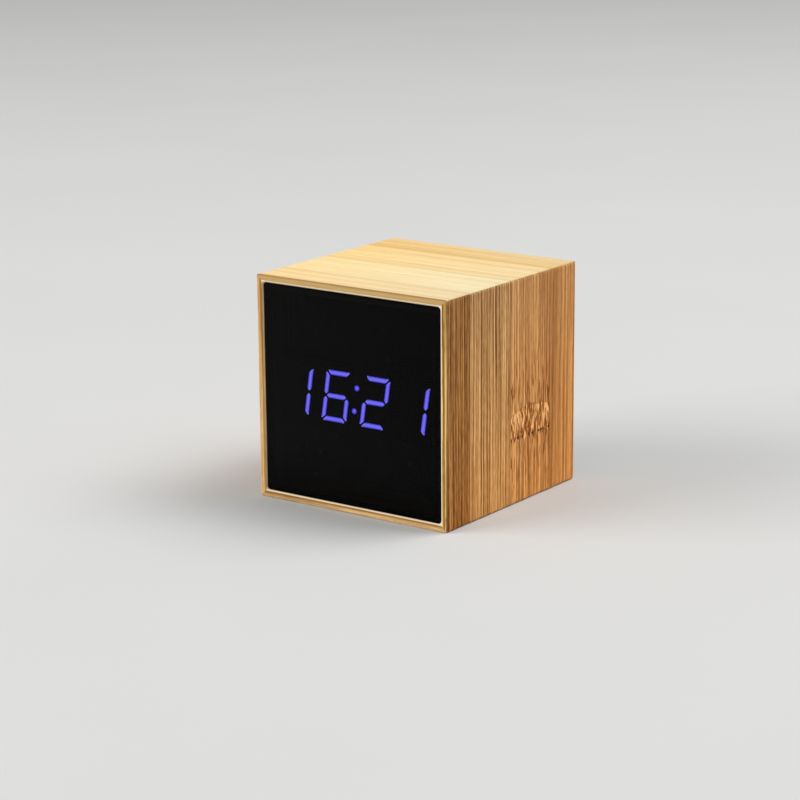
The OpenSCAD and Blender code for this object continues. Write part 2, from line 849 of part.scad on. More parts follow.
module back_cover() {
    color(BLACK) difference() {
        union() {
            cover_plate();
            box(
                [-tray_half - tray_wall, tray_front_y, tray_low_z],
                [tray_half + tray_wall, cover_inner_y + over, tray_high_z]
            );
            at_key_bosses() along_y(key_pcb_rear_y, cover_inner_y + over) circle(d = boss_d);
        }
        tray_hollow();
        tail_slot(1, 0);
        tail_slot(-1, CELLS - 1);
        box(
            [-window_half, door_inner_y - door_seat, window_low_z],
            [window_half, cover_outer_y + over, window_high_z]
        );
        hinge_bar(window_half + hinge_l, hinge_d / 2 + hinge_clear);
        thumb_scoop();
        at_corners(post_at) {
            thread_hole(cover_inner_y - over, cover_outer_y);
            along_y(head_seat_y, cover_outer_y + over) circle(d = head_d + 2 * head_clear);
        }
        at_key_bosses() thread_hole(key_pcb_rear_y - over, key_pcb_front_y + short_screw_l + over);
        for (i = [0 : KEYS - 1]) {
            translate([key_x(i), 0, row_z]) along_y(cover_inner_y - over, cover_outer_y + over)
                circle(d = key_d + 2 * key_clear);
        }
        translate([inlet_x, 0, row_z]) along_y(cover_inner_y - over, cover_outer_y + over)
            inlet_outline(-inlet_clear);
        for (i = [0 : vent_count - 1]) {
            translate([(i - (vent_count - 1) / 2) * vent_pitch, 0, vent_z])
                along_y(cover_inner_y - over, cover_outer_y + over) circle(d = vent_d);
        }
    }
}

// A round bar on the hinge's axis, reaching as far to each side
module hinge_bar(reach, r) {
    translate([-reach, hinge_y, hinge_z]) rotate([0, 90, 0]) cylinder(h = 2 * reach, r = r);
}

// Hollow above the door, where a thumb reaches the latch tongue
module thumb_scoop() {
    translate([0, 0, window_high_z]) along_y(cover_outer_y - scoop_depth, cover_outer_y + over)
        stadium(latch_w + 2 * scoop_rise, 2 * scoop_rise);
}

// The door turns on its full-round lower edge, whose axis carries the two stubs, and its ribs
// lie in the valleys between the cells
module battery_door() {
    slit_x = latch_w / 2 + latch_slit / 2;
    color(BLACK) {
        difference() {
            union() {
                box([-door_half, door_inner_y, hinge_z], [door_half, cover_outer_y, door_high_z]);
                hinge_bar(door_half, door_t / 2);
            }
            for (side = [-1, 1]) {
                box(
                    [side * slit_x - latch_slit / 2, door_inner_y - over, door_high_z - latch_l],
                    [side * slit_x + latch_slit / 2, cover_outer_y + over, door_high_z + over]
                );
            }
        }
        hinge_bar(door_half + hinge_l, hinge_d / 2);
        for (i = [0 : CELLS - 2]) {
            z = (cell_z(i) + cell_z(i + 1)) / 2;
            box(
                [end_pocket - tray_half, door_inner_y - rib_h, z - rib_w / 2],
                [tray_half - end_pocket, door_inner_y + over, z + rib_w / 2]
            );
        }
        for (i = [0 : grip_count - 1]) {
            z = door_high_z - grip_pitch * (i + 1);
            box(
                [grip_w - latch_w / 2, cover_outer_y - over, z - grip_w / 2],
                [latch_w / 2 - grip_w, cover_outer_y + grip_h, z + grip_w / 2]
            );
        }
    }
}

module cover_screws() {
    color(NICKEL) at_corners(post_at) translate([0, head_seat_y, 0]) rotate([-90, 0, 0]) pan_screw(screw_l);
}

// A cell with its nub towards its own side of the tray
module cell(i) {
    edge = 0.6;
    r = cell_d / 2;
    can_l = cell_l - nub_l;
    color(CELL_WRAP) translate([nub_side(i) * (tray_half - contact_t - cell_l), cell_y, cell_z(i)])
        rotate([0, nub_side(i) * 90, 0]) rotate_extrude()
            polygon([
                [0, 0], [r - edge, 0], [r, edge], [r, can_l - edge], [r - edge, can_l],
                [nub_d / 2, can_l], [nub_d / 2, cell_l], [0, cell_l]
            ]);
}

// Contact plates over a run of cells at one end of the tray
module contact_plate(side, first, last) {
    x = side * (tray_half - contact_t / 2);
    box(
        [x - contact_t / 2, cell_y - contact_h / 2, cell_z(first) - contact_w / 2],
        [x + contact_t / 2, cell_y + contact_h / 2, cell_z(last) + contact_w / 2]
    );
}

// A single plate with its tail through the tray's floor
module terminal(side, i) {
    x = side * (tray_half - contact_t / 2);
    contact_plate(side, i, i);
    box(
        [x - contact_t / 2, tray_front_y - tail_l, cell_z(i) - tail_w / 2],
        [x + contact_t / 2, cell_y, cell_z(i) + tail_w / 2]
    );
}

module left_link() {
    color(NICKEL) contact_plate(-1, 0, 1);
}

module right_link() {
    color(NICKEL) contact_plate(1, 1, 2);
}

module positive_terminal() {
    color(NICKEL) terminal(1, 0);
}

module negative_terminal() {
    color(NICKEL) terminal(-1, CELLS - 1);
}

function unit(v) = v / norm(v);

// Direction of a path at one of its points
function heading(path, i) =
    unit(path[min(i + 1, len(path) - 1)] - path[max(i - 1, 0)]);

// Corners of one ring round a path, turned from the side vector given for that point
function ring(centre, way, side_vector, r, sides) = let(
    u = unit(cross(way, side_vector)),
    v = cross(u, way)
) [for (k = [0 : sides - 1]) centre + r * (cos(360 * k / sides) * u + sin(360 * k / sides) * v)];

// A closed tube along a path, with a vector to the side at every point
module tube(path, side_vectors, r, sides) {
    last = len(path) - 1;
    corners = [for (i = [0 : last]) each ring(path[i], heading(path, i), side_vectors[i], r, sides)];
    walls = [
        for (i = [0 : last - 1], k = [0 : sides - 1])
            let(a = i * sides + k, b = i * sides + (k + 1) % sides)
                each [[a, b, b + sides], [a, b + sides, a + sides]]
    ];
    near_end = [for (k = [1 : sides - 2]) [0, k + 1, k]];
    far_end = [for (k = [1 : sides - 2]) [last * sides, last * sides + k, last * sides + k + 1]];
    polyhedron(points = corners, faces = concat(walls, near_end, far_end));
}

// A contact spring: straight wire ends, square to plate and cell, and turns that draw in
SPRING_TURNS = 2.5;
SPRING_RINGS = 8;
SPRING_SIDES = 6;
spring_r = spring_d / 2;
spring_tip_r = spring_tip_d / 2;
spring_ring_count = SPRING_TURNS * SPRING_RINGS;

// Angle, radius and height of the wire at a ring of the turns
function turn_angle(k) = 360 * k / SPRING_RINGS;
function turn_point(k) = let(
    share = k / spring_ring_count,
    r = spring_r + (spring_tip_r - spring_r) * share,
    h = wire_d + (spring_l - 2 * wire_d) * share
) [h, r * cos(turn_angle(k)), r * sin(turn_angle(k))];

spring_turns_path = [for (k = [0 : spring_ring_count]) turn_point(k)];
spring_foot = [0, spring_turns_path[0].y, spring_turns_path[0].z];
spring_tip = [spring_l, spring_turns_path[spring_ring_count].y, spring_turns_path[spring_ring_count].z];
spring_path = concat([spring_foot], spring_turns_path, [spring_tip]);
spring_sides = concat(
    [[0, 1, 0]],
    [for (k = [0 : spring_ring_count]) [0, cos(turn_angle(k)), sin(turn_angle(k))]],
    [[0, cos(turn_angle(spring_ring_count)), sin(turn_angle(spring_ring_count))]]
);
spring_gap = min([
    for (i = [0 : spring_ring_count], j = [0 : spring_ring_count])
        if (j - i >= SPRING_RINGS / 2) norm(spring_turns_path[i] - spring_turns_path[j]) - wire_d
]);
echo(least_spring_gap = spring_gap);

module contact_spring(i) {
    side = -nub_side(i);
    color(NICKEL) translate([side * (tray_half - contact_t), cell_y, cell_z(i)])
        rotate([0, 0, side > 0 ? 180 : 0])
            tube(spring_path, spring_sides, wire_d / 2, SPRING_SIDES);
}

// A smooth path through points chosen by hand
function smooth_point(a, b, c, d, t) =
    0.5 * (2 * b + (c - a) * t + (2 * a - 5 * b + 4 * c - d) * t * t + (3 * b - a - 3 * c + d) * t * t * t);

function smooth_path(points) = let(last = len(points) - 1) concat(
    [
        for (i = [0 : last - 1], s = [0 : LEAD_STEPS - 1])
            smooth_point(
                points[max(i - 1, 0)], points[i], points[i + 1], points[min(i + 2, last)], s / LEAD_STEPS
            )
    ],
    [points[last]]
);

// A point of a lead between two others, easing across and up as it goes back
function lead_point(from, to, share) = let(eased = share * share * (3 - 2 * share)) [
    from.x + (to.x - from.x) * eased,
    from.y + (to.y - from.y) * share,
    from.z + (to.z - from.z) * eased
];

// A battery lead from a terminal's tail to its place on the main board
module lead(side, i, place) {
    tail = [side * (tray_half - contact_t / 2), tray_front_y - tail_l, cell_z(i)];
    foot = [place.x, pcb_rear_y, half + place[1]];
    straight = [0, 2 * lead_d, 0];
    points = [for (share = LEAD_SHARES) lead_point(tail - straight, foot + straight, share)];
    path = smooth_path(concat([tail, tail - straight], points, [foot + straight, foot]));
    tube(path, [for (p = path) [1, 0, 0]], lead_d / 2, LEAD_SIDES);
}

module positive_lead() {
    color("firebrick") lead(1, 0, POSITIVE_FOOT);
}

module negative_lead() {
    color(BLACK) lead(-1, CELLS - 1, NEGATIVE_FOOT);
}

module ribbon_cable() {
    run = pcb_rear_y - key_pcb_front_y;
    sag = [for (p = RIBBON_POINTS) [key_pcb_front_y + run * p.x, ribbon_z - ribbon_sag * p[1]]];
    path = smooth_path(concat([[key_pcb_front_y, ribbon_z]], sag, [[pcb_rear_y, ribbon_z]]));
    upper = [for (p = path) p + [0, ribbon_t / 2]];
    lower = [for (i = [len(path) - 1 : -1 : 0]) path[i] - [0, ribbon_t / 2]];
    color(DARK_GREY) along_x(-ribbon_w / 2, ribbon_w / 2) polygon(concat(upper, lower));
}

top_board();
bottom_board();
left_board();
right_board();
corner_post(-1, 1);  // upper_left_post
corner_post(1, 1);  // upper_right_post
corner_post(-1, -1);  // lower_left_post
corner_post(1, -1);  // lower_right_post
front_panel();
panel_tape();
display_housing();
lit_segments();
unlit_segments();
colon_dots();
display_pins();
main_board();
board_screws();
clock_chip();
crystal();
filter_capacitor();
buzzer();
microphone();
resistors();
key_board();
key_board_screws();
tact_switch(0);  // set_switch
tact_switch(1);  // up_switch
tact_switch(2);  // down_switch
plunger(0);  // set_plunger
plunger(1);  // up_plunger
plunger(2);  // down_plunger
set_key();
up_key();
down_key();
inlet_shell();
inlet_tongue();
back_cover();
cover_screws();
battery_door();
cell(0);  // cell_1
cell(1);  // cell_2
cell(2);  // cell_3
contact_spring(0);  // spring_1
contact_spring(1);  // spring_2
contact_spring(2);  // spring_3
left_link();
right_link();
positive_terminal();
negative_terminal();
positive_lead();
negative_lead();
ribbon_cable();
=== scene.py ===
"""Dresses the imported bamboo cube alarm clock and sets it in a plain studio.

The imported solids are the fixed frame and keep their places. The cells, contact springs, leads,
ribbon and inlet contacts are modelled here in finer form, and every surface gets a procedural
finish. Lengths are metres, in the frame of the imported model: the front faces -Y, +Z is up. The
bamboo's own patterns count in millimetres.
"""

from __future__ import annotations

import json
import logging
import math
from collections.abc import Callable, Sequence
from dataclasses import dataclass, field
from enum import Enum

import bmesh
import bpy
from mathutils import Matrix, Vector

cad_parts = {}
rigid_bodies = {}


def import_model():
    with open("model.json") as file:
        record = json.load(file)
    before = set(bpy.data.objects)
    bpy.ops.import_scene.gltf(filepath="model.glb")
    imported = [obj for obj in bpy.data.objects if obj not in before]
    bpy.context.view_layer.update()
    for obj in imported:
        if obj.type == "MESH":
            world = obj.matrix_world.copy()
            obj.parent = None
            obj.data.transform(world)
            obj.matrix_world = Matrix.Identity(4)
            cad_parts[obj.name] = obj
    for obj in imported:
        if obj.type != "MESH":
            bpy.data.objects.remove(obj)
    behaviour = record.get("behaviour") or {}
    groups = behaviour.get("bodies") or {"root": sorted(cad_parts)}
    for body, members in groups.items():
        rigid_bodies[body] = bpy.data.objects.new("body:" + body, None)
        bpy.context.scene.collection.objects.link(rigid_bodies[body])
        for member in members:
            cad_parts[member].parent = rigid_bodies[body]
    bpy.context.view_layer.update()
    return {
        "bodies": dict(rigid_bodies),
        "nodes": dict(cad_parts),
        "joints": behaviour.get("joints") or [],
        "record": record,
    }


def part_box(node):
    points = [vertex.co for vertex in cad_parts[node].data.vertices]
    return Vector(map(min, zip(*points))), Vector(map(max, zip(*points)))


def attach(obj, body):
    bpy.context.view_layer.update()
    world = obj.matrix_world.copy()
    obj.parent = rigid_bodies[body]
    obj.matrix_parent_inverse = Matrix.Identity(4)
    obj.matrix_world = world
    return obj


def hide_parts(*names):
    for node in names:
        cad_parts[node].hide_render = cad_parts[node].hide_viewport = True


LOG = logging.getLogger("clock")
MM = 0.001
CUBE_MM = 62.0

Triple = tuple[float, float, float]
ZERO: Triple = (0.0, 0.0, 0.0)
Colour = Triple
Span = tuple[float, float]
Strips = tuple[tuple[Colour, Colour], ...]
Frame = dict[str, object]
Piece = bpy.types.Object
Material = bpy.types.Material
Node = bpy.types.Node
Socket = bpy.types.NodeSocket
Sockets = dict[str, Socket]
Source = Socket | float | Sequence[float]


def rgba(colour: Colour) -> tuple[float, float, float, float]:
    """Returns a linear colour with full alpha."""
    return (*colour, 1.0)


class Tree:
    """Adds and joins the nodes of one shader tree."""

    def __init__(self, tree: bpy.types.NodeTree) -> None:
        """Keeps the tree that the nodes go into."""
        self.tree = tree

    def add(self, kind: str, **settings: object) -> Node:
        """Adds a shader node.

        Args:
            kind: The node's type name without its ShaderNode prefix.
            settings: Properties of the node to set.

        Returns:
            The new node.
        """
        node = self.tree.nodes.new("ShaderNode" + kind)
        for name, value in settings.items():
            setattr(node, name, value)
        return node

    def feed(self, socket: Socket, source: Source) -> None:
        """Joins a socket to another one, or sets it to a plain value.

        Args:
            socket: The input to feed.
            source: An output socket, a number, a vector or a colour.
        """
        if isinstance(source, Socket):
            self.tree.links.new(source, socket)
        else:
            socket.default_value = source

    def feed_all(self, node: Node, sources: dict[str | int, Source]) -> None:
        """Feeds inputs of a node, each given by its name or number."""
        for key, source in sources.items():
            self.feed(node.inputs[key], source)

    def fed(self, kind: str, sources: dict[str | int, Source], **settings: object) -> Node:
        """Adds a shader node and feeds its inputs.

        Args:
            kind: The node's type name without its ShaderNode prefix.
            sources: What each input gets, by the input's name or number.
            settings: Properties of the node to set.

        Returns:
            The new node.
        """
        node = self.add(kind, **settings)
        self.feed_all(node, sources)
        return node

    def math(self, operation: str, a: Source, b: Source = 0.0, c: Source = 0.0) -> Socket:
        """Returns the value of a Math node, given Blender's name of the operation and its operands."""
        return self.fed("Math", {0: a, 1: b, 2: c}, operation=operation).outputs[0]

    def folded(self, operation: str, values: Sequence[Source]) -> Socket:
        """Joins several values by one operation.

        Args:
            operation: Blender's name of the operation.
            values: Two or more values, in order.

        Returns:
            The result.
        """
        result = values[0]
        for value in values[1:]:
            result = self.math(operation, result, value)
        return result

    def product(self, *values: Source) -> Socket:
        """Returns the product of two or more values."""
        return self.folded("MULTIPLY", values)

    def largest(self, *values: Source) -> Socket:
        """Returns the largest of two or more values."""
        return self.folded("MAXIMUM", values)

    def squares(self, a: Source, b: Source) -> Socket:
        """Returns the sum of two values' squares."""
        return self.math("MULTIPLY_ADD", a, a, self.product(b, b))

    def off(self, value: Source, middle: Source) -> Socket:
        """Returns how far a value lies from a middle, whichever way."""
        return self.math("ABSOLUTE", self.math("SUBTRACT", value, middle))

    def ease(self, value: Source, start: float, end: float) -> Socket:
        """Adds a smooth step.

        Args:
            value: What is stepped.
            start: The value at which the step is 0.
            end: The value at which it is 1, above or below the start.

        Returns:
            The step, from 0 to 1.
        """
        low, high = sorted((start, end))
        goal = {"To Min": float(start > end), "To Max": float(start < end)}
        sources = {"Value": value, "From Min": low, "From Max": high, **goal}
        return self.fed("MapRange", sources, interpolation_type="SMOOTHSTEP").outputs[0]

    def scaled(self, value: Source, low: float, high: float) -> Socket:
        """Returns a value of 0 to 1 spread over another range."""
        return self.fed("MapRange", {"Value": value, "To Min": low, "To Max": high}).outputs[0]

    def mix(self, share: Source, a: Source, b: Source, way: str = "MIX") -> Socket:
        """Returns two colours mixed by the share of the second, in Blender's named way."""
        return self.fed("Mix", {0: share, 6: a, 7: b}, data_type="RGBA", blend_type=way).outputs[2]

    def choose(self, share: Source, a: Node, b: Node) -> Socket:
        """Returns two shaders mixed by the share of the second."""
        return self.fed("MixShader", {0: share, 1: a.outputs[0], 2: b.outputs[0]}).outputs[0]

    def vector(self, x: Source, y: Source, z: Source) -> Socket:
        """Returns a vector made of three values."""
        return self.fed("CombineXYZ", {0: x, 1: y, 2: z}).outputs[0]

    def parts(self, vector: Source) -> tuple[Socket, ...]:
        """Returns the three values of a vector."""
        return tuple(self.fed("SeparateXYZ", {0: vector}).outputs)

    def mapped(self, vector: Source, scale: Triple, turn: Triple = ZERO, shift: Triple = ZERO) -> Socket:
        """Returns coordinates that are scaled, turned and then shifted."""
        sources = {"Vector": vector, "Location": shift, "Rotation": turn, "Scale": scale}
        return self.fed("Mapping", sources).outputs[0]

    def noise(self, vector: Source, scale: float, detail: float = 2.0, rough: float = 0.5) -> Socket:
        """Adds a noise texture.

        Args:
            vector: Where to read it.
            scale: Features per unit of the vector.
            detail: Octaves added to the first.
            rough: Weight of each further octave.

        Returns:
            A value about one half.
        """
        sources = {"Vector": vector, "Scale": scale, "Detail": detail, "Roughness": rough}
        return self.fed("TexNoise", sources).outputs[0]

    def cells(self, vector: Source, scale: float) -> Socket:
        """Returns the distance to the nearest of points scattered at the given scale."""
        return self.fed("TexVoronoi", {"Vector": vector, "Scale": scale}).outputs["Distance"]

    def ramp(self, value: Source, stops: Sequence[tuple[float, Colour]]) -> Socket:
        """Adds a colour ramp.

        Args:
            value: Place on the ramp, 0 to 1.
            stops: Places and their colours, in order.

        Returns:
            The colour at that place.
        """
        node = self.fed("ValToRGB", {0: value})
        while len(node.color_ramp.elements) < len(stops):
            node.color_ramp.elements.new(1.0)
        for element, (place, colour) in zip(node.color_ramp.elements, stops):
            element.position = place
            element.color = rgba(colour)
        return node.outputs[0]


class SharedGroup:
    """A node group that several materials place with their own values."""

    name: str = ""
    inputs: dict[str, str] = {}
    outputs: tuple[str, ...] = ()

    def fill(self, tree: Tree, given: Sockets) -> Sockets:
        """Builds the group's nodes; each kind of group has its own.

        Args:
            tree: The group's tree.
            given: Its input sockets by name.

        Returns:
            Its output sources by name.
        """
        raise NotImplementedError

    def group(self) -> bpy.types.NodeTree:
        """Finds the group, or builds it at its first use.

        Returns:
            The group's tree.
        """
        found = bpy.data.node_groups.get(self.name)
        if found:
            return found
        made = bpy.data.node_groups.new(self.name, "ShaderNodeTree")
        sockets = [("INPUT", label, kind) for label, kind in self.inputs.items()]
        sockets += [("OUTPUT", label, "Float") for label in self.outputs]
        for way, label, kind in sockets:
            made.interface.new_socket(name=label, in_out=way, socket_type="NodeSocket" + kind)
        source = made.nodes.new("NodeGroupInput")
        target = made.nodes.new("NodeGroupOutput")
        results = self.fill(Tree(made), {label: source.outputs[label] for label in self.inputs})
        for label, socket in results.items():
            made.links.new(socket, target.inputs[label])
        return made

    def place(self, tree: Tree, **values: Source) -> Sockets:
        """Places the group in a material.

        Args:
            tree: The material's tree.
            values: A source for each input, with its spaces as underscores.

        Returns:
            The group's outputs by name.
        """
        node = tree.add("Group")
        node.node_tree = self.group()
        tree.feed_all(node, {label.replace("_", " "): source for label, source in values.items()})
        return {label: node.outputs[label] for label in self.outputs}


@dataclass(frozen=True)
class Streak:
    """Noise drawn out along the grain: its features per millimetre along and across, and its weight."""

    run: float
    pitch: float
    weight: float = 1.0
    detail: float = 1.0
    limits: Span | None = None


@dataclass(frozen=True)
class Fibres:
    """Where a point lies among the fibres, in millimetres, with its strip's own number."""

    along: Socket
    across: Socket
    deep: Socket
    own: Socket
    rough: float = 0.62

    def streaks(self, tree: Tree, kind: Streak) -> Socket:
        """Draws one kind of streak.

        Args:
            tree: The group's tree.
            kind: The streak's sizes.

        Returns:
            The drawn-out noise, stepped if the kind has limits.
        """
        place = tree.vector(
            tree.math("MULTIPLY_ADD", self.along, kind.run, self.own),
            tree.product(self.across, kind.pitch),
            tree.math("MULTIPLY_ADD", self.deep, kind.pitch, self.own),
        )
        drawn = tree.noise(place, 1.0, kind.detail, self.rough)
        return tree.ease(drawn, *kind.limits) if kind.limits else drawn


class BambooGrain(SharedGroup):
    """Pressed bamboo strips, in millimetres along the grain, across the strips and into the wood."""

    name = "bamboo_grain"
    inputs = {
        "Lay": "Vector",
        "Seed": "Float",
        "Knuckle At": "Float",
        "Knuckle Strip": "Float",
        "Knuckle Depth": "Float",
    }
    outputs = ("Grain", "Dark", "Seam", "Pit", "Relief")
    strip_w: float = 19.4
    first_seam: float = 10.6
    seam_glue: Span = (0.3, 0.06)
    seam_share: float = 0.5
    seam_shade: Span = (1.5, 0.2)
    own_step: float = 7.3
    level: float = -0.55
    broad: Streak = Streak(0.006, 0.30, 0.46)
    fine: Streak = Streak(0.09, 9.0, 0.50, 2.0)
    hairs: Streak = Streak(0.05, 3.2, 0.62, 2.0)
    pores: Streak = Streak(0.32, 2.2, 0.48)
    lines: Streak = Streak(0.011, 1.8, -0.36, limits=(0.50, 0.34))
    glints: Streak = Streak(0.014, 2.1, 0.36, limits=(0.48, 0.66))
    dashes: Streak = Streak(0.17, 1.8, limits=(0.53, 0.63))
    dash_share: Span = (0.9, 0.10)
    dash_beside: Span = (3.5, 0.5)
    dash_more: float = 0.4
    near_swerve: Streak = Streak(0.20, 0.4, 1.5)
    slow_swerve: Streak = Streak(0.04, 0.12)
    curl: Streak = Streak(0.45, 0.8, 1.5, 2.0)
    crumb: Streak = Streak(0.30, 1.7, 6.0, 2.0)
    crumb_rough: float = 0.6
    crumb_dark: Span = (0.51, 0.39)
    knuckle_half: float = 4.3
    knuckle_reach: Span = (26.0, 4.0)
    knuckle_foot: Span = (-0.9, 0.4)
    knuckle_head: Span = (0.6, -0.5)
    head_arch: float = 0.022
    head_ripple: Streak = Streak(0.0, 0.35, -2.2, 2.0)
    cap_fade: Span = (0.7, 0.1)
    cap_dark: Span = (0.62, 0.40)
    pit_pitch: float = 0.4
    pit_scatter: float = 0.55
    pit_rise: float = 0.5
    pit_fade: Span = (0.30, 0.05)
    dark_relief: float = -0.6
    pit_relief: float = -1.5

    def fill(self, tree: Tree, given: Sockets) -> Sockets:
        """Builds streaks, flecks, seams and one knuckle with its row of pits.

        Args:
            tree: The group's tree.
            given: Its input sockets by name.

        Returns:
            Its output sources by name.
        """
        along, across, deep = tree.parts(given["Lay"])
        strip_place = tree.math("DIVIDE", tree.math("SUBTRACT", across, self.first_seam), self.strip_w)
        strip = tree.math("FLOOR", strip_place)
        own = tree.math("MULTIPLY_ADD", strip, self.own_step, given["Seed"])
        beside_seam = tree.product(tree.math("PINGPONG", strip_place, 0.5), self.strip_w)
        on_strip = tree.math("COMPARE", strip, given["Knuckle Strip"], 0.1)
        strength = tree.product(on_strip, given["Knuckle Depth"])
        above = tree.math("SUBTRACT", along, given["Knuckle At"])
        around = tree.product(tree.ease(tree.math("ABSOLUTE", above), *self.knuckle_reach), strength)

        fibres = Fibres(along, self.swerving(tree, along, across, own, around), deep, own)
        grain = self.level
        for kind in (self.broad, self.fine, self.hairs, self.pores, self.lines, self.glints):
            grain = tree.math("MULTIPLY_ADD", fibres.streaks(tree, kind), kind.weight, grain)
        beside = tree.product(tree.ease(beside_seam, *self.dash_beside), around)
        share = tree.math("MULTIPLY_ADD", around, *self.dash_share)
        share = tree.math("MULTIPLY_ADD", beside, self.dash_more, share)
        flecks = tree.product(fibres.streaks(tree, self.dashes), share)

        middle = tree.math("MULTIPLY_ADD", strip, self.strip_w, self.first_seam + self.strip_w / 2)
        band, cap = self.knuckle(tree, above, across, middle, own, strength)
        crumb = self.crumbs(tree, fibres, across)
        lively = tree.product(tree.math("SUBTRACT", crumb, 0.5), band)
        grain = tree.math("MULTIPLY_ADD", lively, self.crumb.weight, grain)
        glue = tree.product(tree.ease(beside_seam, *self.seam_glue), self.seam_share)
        mottle = tree.product(tree.ease(crumb, *self.crumb_dark), band)
        dark = tree.largest(flecks, glue, mottle, tree.product(cap, tree.ease(crumb, *self.cap_dark)))
        pit = self.pits(tree, above, across, strength)
        relief = tree.math("MULTIPLY_ADD", dark, self.dark_relief, grain)
        relief = tree.math("MULTIPLY_ADD", pit, self.pit_relief, relief)
        seam = tree.ease(beside_seam, *self.seam_shade)
        return {"Grain": grain, "Dark": dark, "Seam": seam, "Pit": pit, "Relief": relief}

    @staticmethod
    def drawn_out(tree: Tree, along: Socket, across: Socket, own: Socket, kind: Streak) -> Socket:
        """Returns coordinates stretched to the sizes of a kind of streak, other ones on each strip."""
        return tree.vector(tree.product(along, kind.run), tree.product(across, kind.pitch), own)

    def swerving(self, tree: Tree, along: Socket, across: Socket, own: Socket, around: Socket) -> Socket:
        """Lets the fibres wander a little, and more near the knuckle.

        Args:
            tree: The group's tree.
            along: Millimetres along the grain.
            across: Millimetres across the strips.
            own: Each strip's own number.
            around: Mask of the knuckle's surroundings.

        Returns:
            Millimetres across the strips, as the fibres count them.
        """
        def swerve(kind: Streak) -> Socket:
            """Returns slow noise about zero."""
            place = self.drawn_out(tree, along, across, own, kind)
            return tree.math("SUBTRACT", tree.noise(place, 1.0, kind.detail), 0.5)

        near = tree.math("POWER", around, 3.0)
        drift = tree.product(swerve(self.near_swerve), near, self.near_swerve.weight)
        return tree.math("ADD", across, tree.math("ADD", swerve(self.slow_swerve), drift))

    def crumbs(self, tree: Tree, fibres: Fibres, across: Socket) -> Socket:
        """Curls the fibres up, as they are in a knuckle.

        Args:
            tree: The group's tree.
            fibres: Where a point lies among the fibres.
            across: Millimetres across the strips.

        Returns:
            A value about one half.
        """
        place = self.drawn_out(tree, fibres.along, across, fibres.own, self.curl)
        curl = tree.math("SUBTRACT", tree.noise(place, 1.0, self.curl.detail), 0.5)
        curled = tree.math("MULTIPLY_ADD", curl, self.curl.weight, fibres.across)
        place = self.drawn_out(tree, fibres.along, curled, fibres.own, self.crumb)
        return tree.noise(place, 1.0, self.crumb.detail, self.crumb_rough)

    def knuckle(
        self, tree: Tree, above: Socket, across: Socket, middle: Socket, own: Socket, strength: Socket
    ) -> tuple[Socket, Socket]:
        """Shapes the crumbly band of a knuckle and the dark arc that caps it.

        Args:
            tree: The group's tree.
            above: Millimetres from the knuckle's middle, along the grain.
            across: Millimetres across the strips.
            middle: Middle of each strip, counted the same way.
            own: Each strip's own number.
            strength: Mask of the strip that has the knuckle.

        Returns:
            The masks of the band and of its cap.
        """
        ripple = self.drawn_out(tree, above, across, own, self.head_ripple)
        waver = tree.math("SUBTRACT", tree.noise(ripple, 1.0, self.head_ripple.detail), 0.5)
        aside = tree.math("SUBTRACT", across, middle)
        bent = tree.math("MULTIPLY_ADD", tree.product(aside, aside), self.head_arch, above)
        bent = tree.math("MULTIPLY_ADD", waver, self.head_ripple.weight, bent)
        rising = tree.ease(above, *(step - self.knuckle_half for step in self.knuckle_foot))
        falling = tree.ease(bent, *(step + self.knuckle_half for step in self.knuckle_head))
        cap = tree.ease(tree.off(bent, self.knuckle_half), *self.cap_fade)
        return tree.product(rising, falling, strength), tree.product(cap, strength)

    def pits(self, tree: Tree, above: Socket, across: Socket, strength: Socket) -> Socket:
        """Sets the row of root pits at the knuckle's lower edge.

        Args:
            tree: The group's tree.
            above: Millimetres from the knuckle's middle, along the grain.
            across: Millimetres across the strips.
            strength: Mask of the strip that has the knuckle.

        Returns:
            The mask of the pits.
        """
        sources = {"W": across, "Scale": self.pit_pitch, "Randomness": self.pit_scatter}
        row = tree.fed("TexVoronoi", sources, voronoi_dimensions="1D")
        side = tree.math("DIVIDE", row.outputs["Distance"], self.pit_pitch)
        level = tree.math("ADD", above, self.knuckle_half - self.pit_rise)
        return tree.product(tree.ease(tree.squares(side, level), *self.pit_fade), strength)


class SparkTexture(SharedGroup):
    """The fine eroded texture of a mould, with a little dust and handling."""

    name = "spark_texture"
    inputs = {"Place": "Vector", "Pitch": "Float", "Dust": "Float"}
    outputs = ("Height", "Tint", "Dust")
    cloud_scale: float = 160.0
    speck_scale: float = 900.0
    speck_size: Span = (0.16, 0.06)
    sparse_scale: float = 420.0
    sparse_limits: Span = (0.58, 0.70)

    def fill(self, tree: Tree, given: Sockets) -> Sockets:
        """Builds pits at the given pitch, slow cloudiness and sparse specks.

        Args:
            tree: The group's tree.
            given: Its input sockets by name.

        Returns:
            Its output sources by name.
        """
        place = given["Place"]
        spread = tree.fed("VectorMath", {0: place, "Scale": given["Pitch"]}, operation="SCALE")
        fine = tree.noise(spread.outputs[0], 1.0, 3.0, 0.7)
        cloud = tree.noise(place, self.cloud_scale, 3.0, 0.6)
        specks = tree.ease(tree.cells(place, self.speck_scale), *self.speck_size)
        sparse = tree.ease(tree.noise(place, self.sparse_scale, 1.0), *self.sparse_limits)
        return {"Height": fine, "Tint": cloud, "Dust": tree.product(specks, sparse, given["Dust"])}


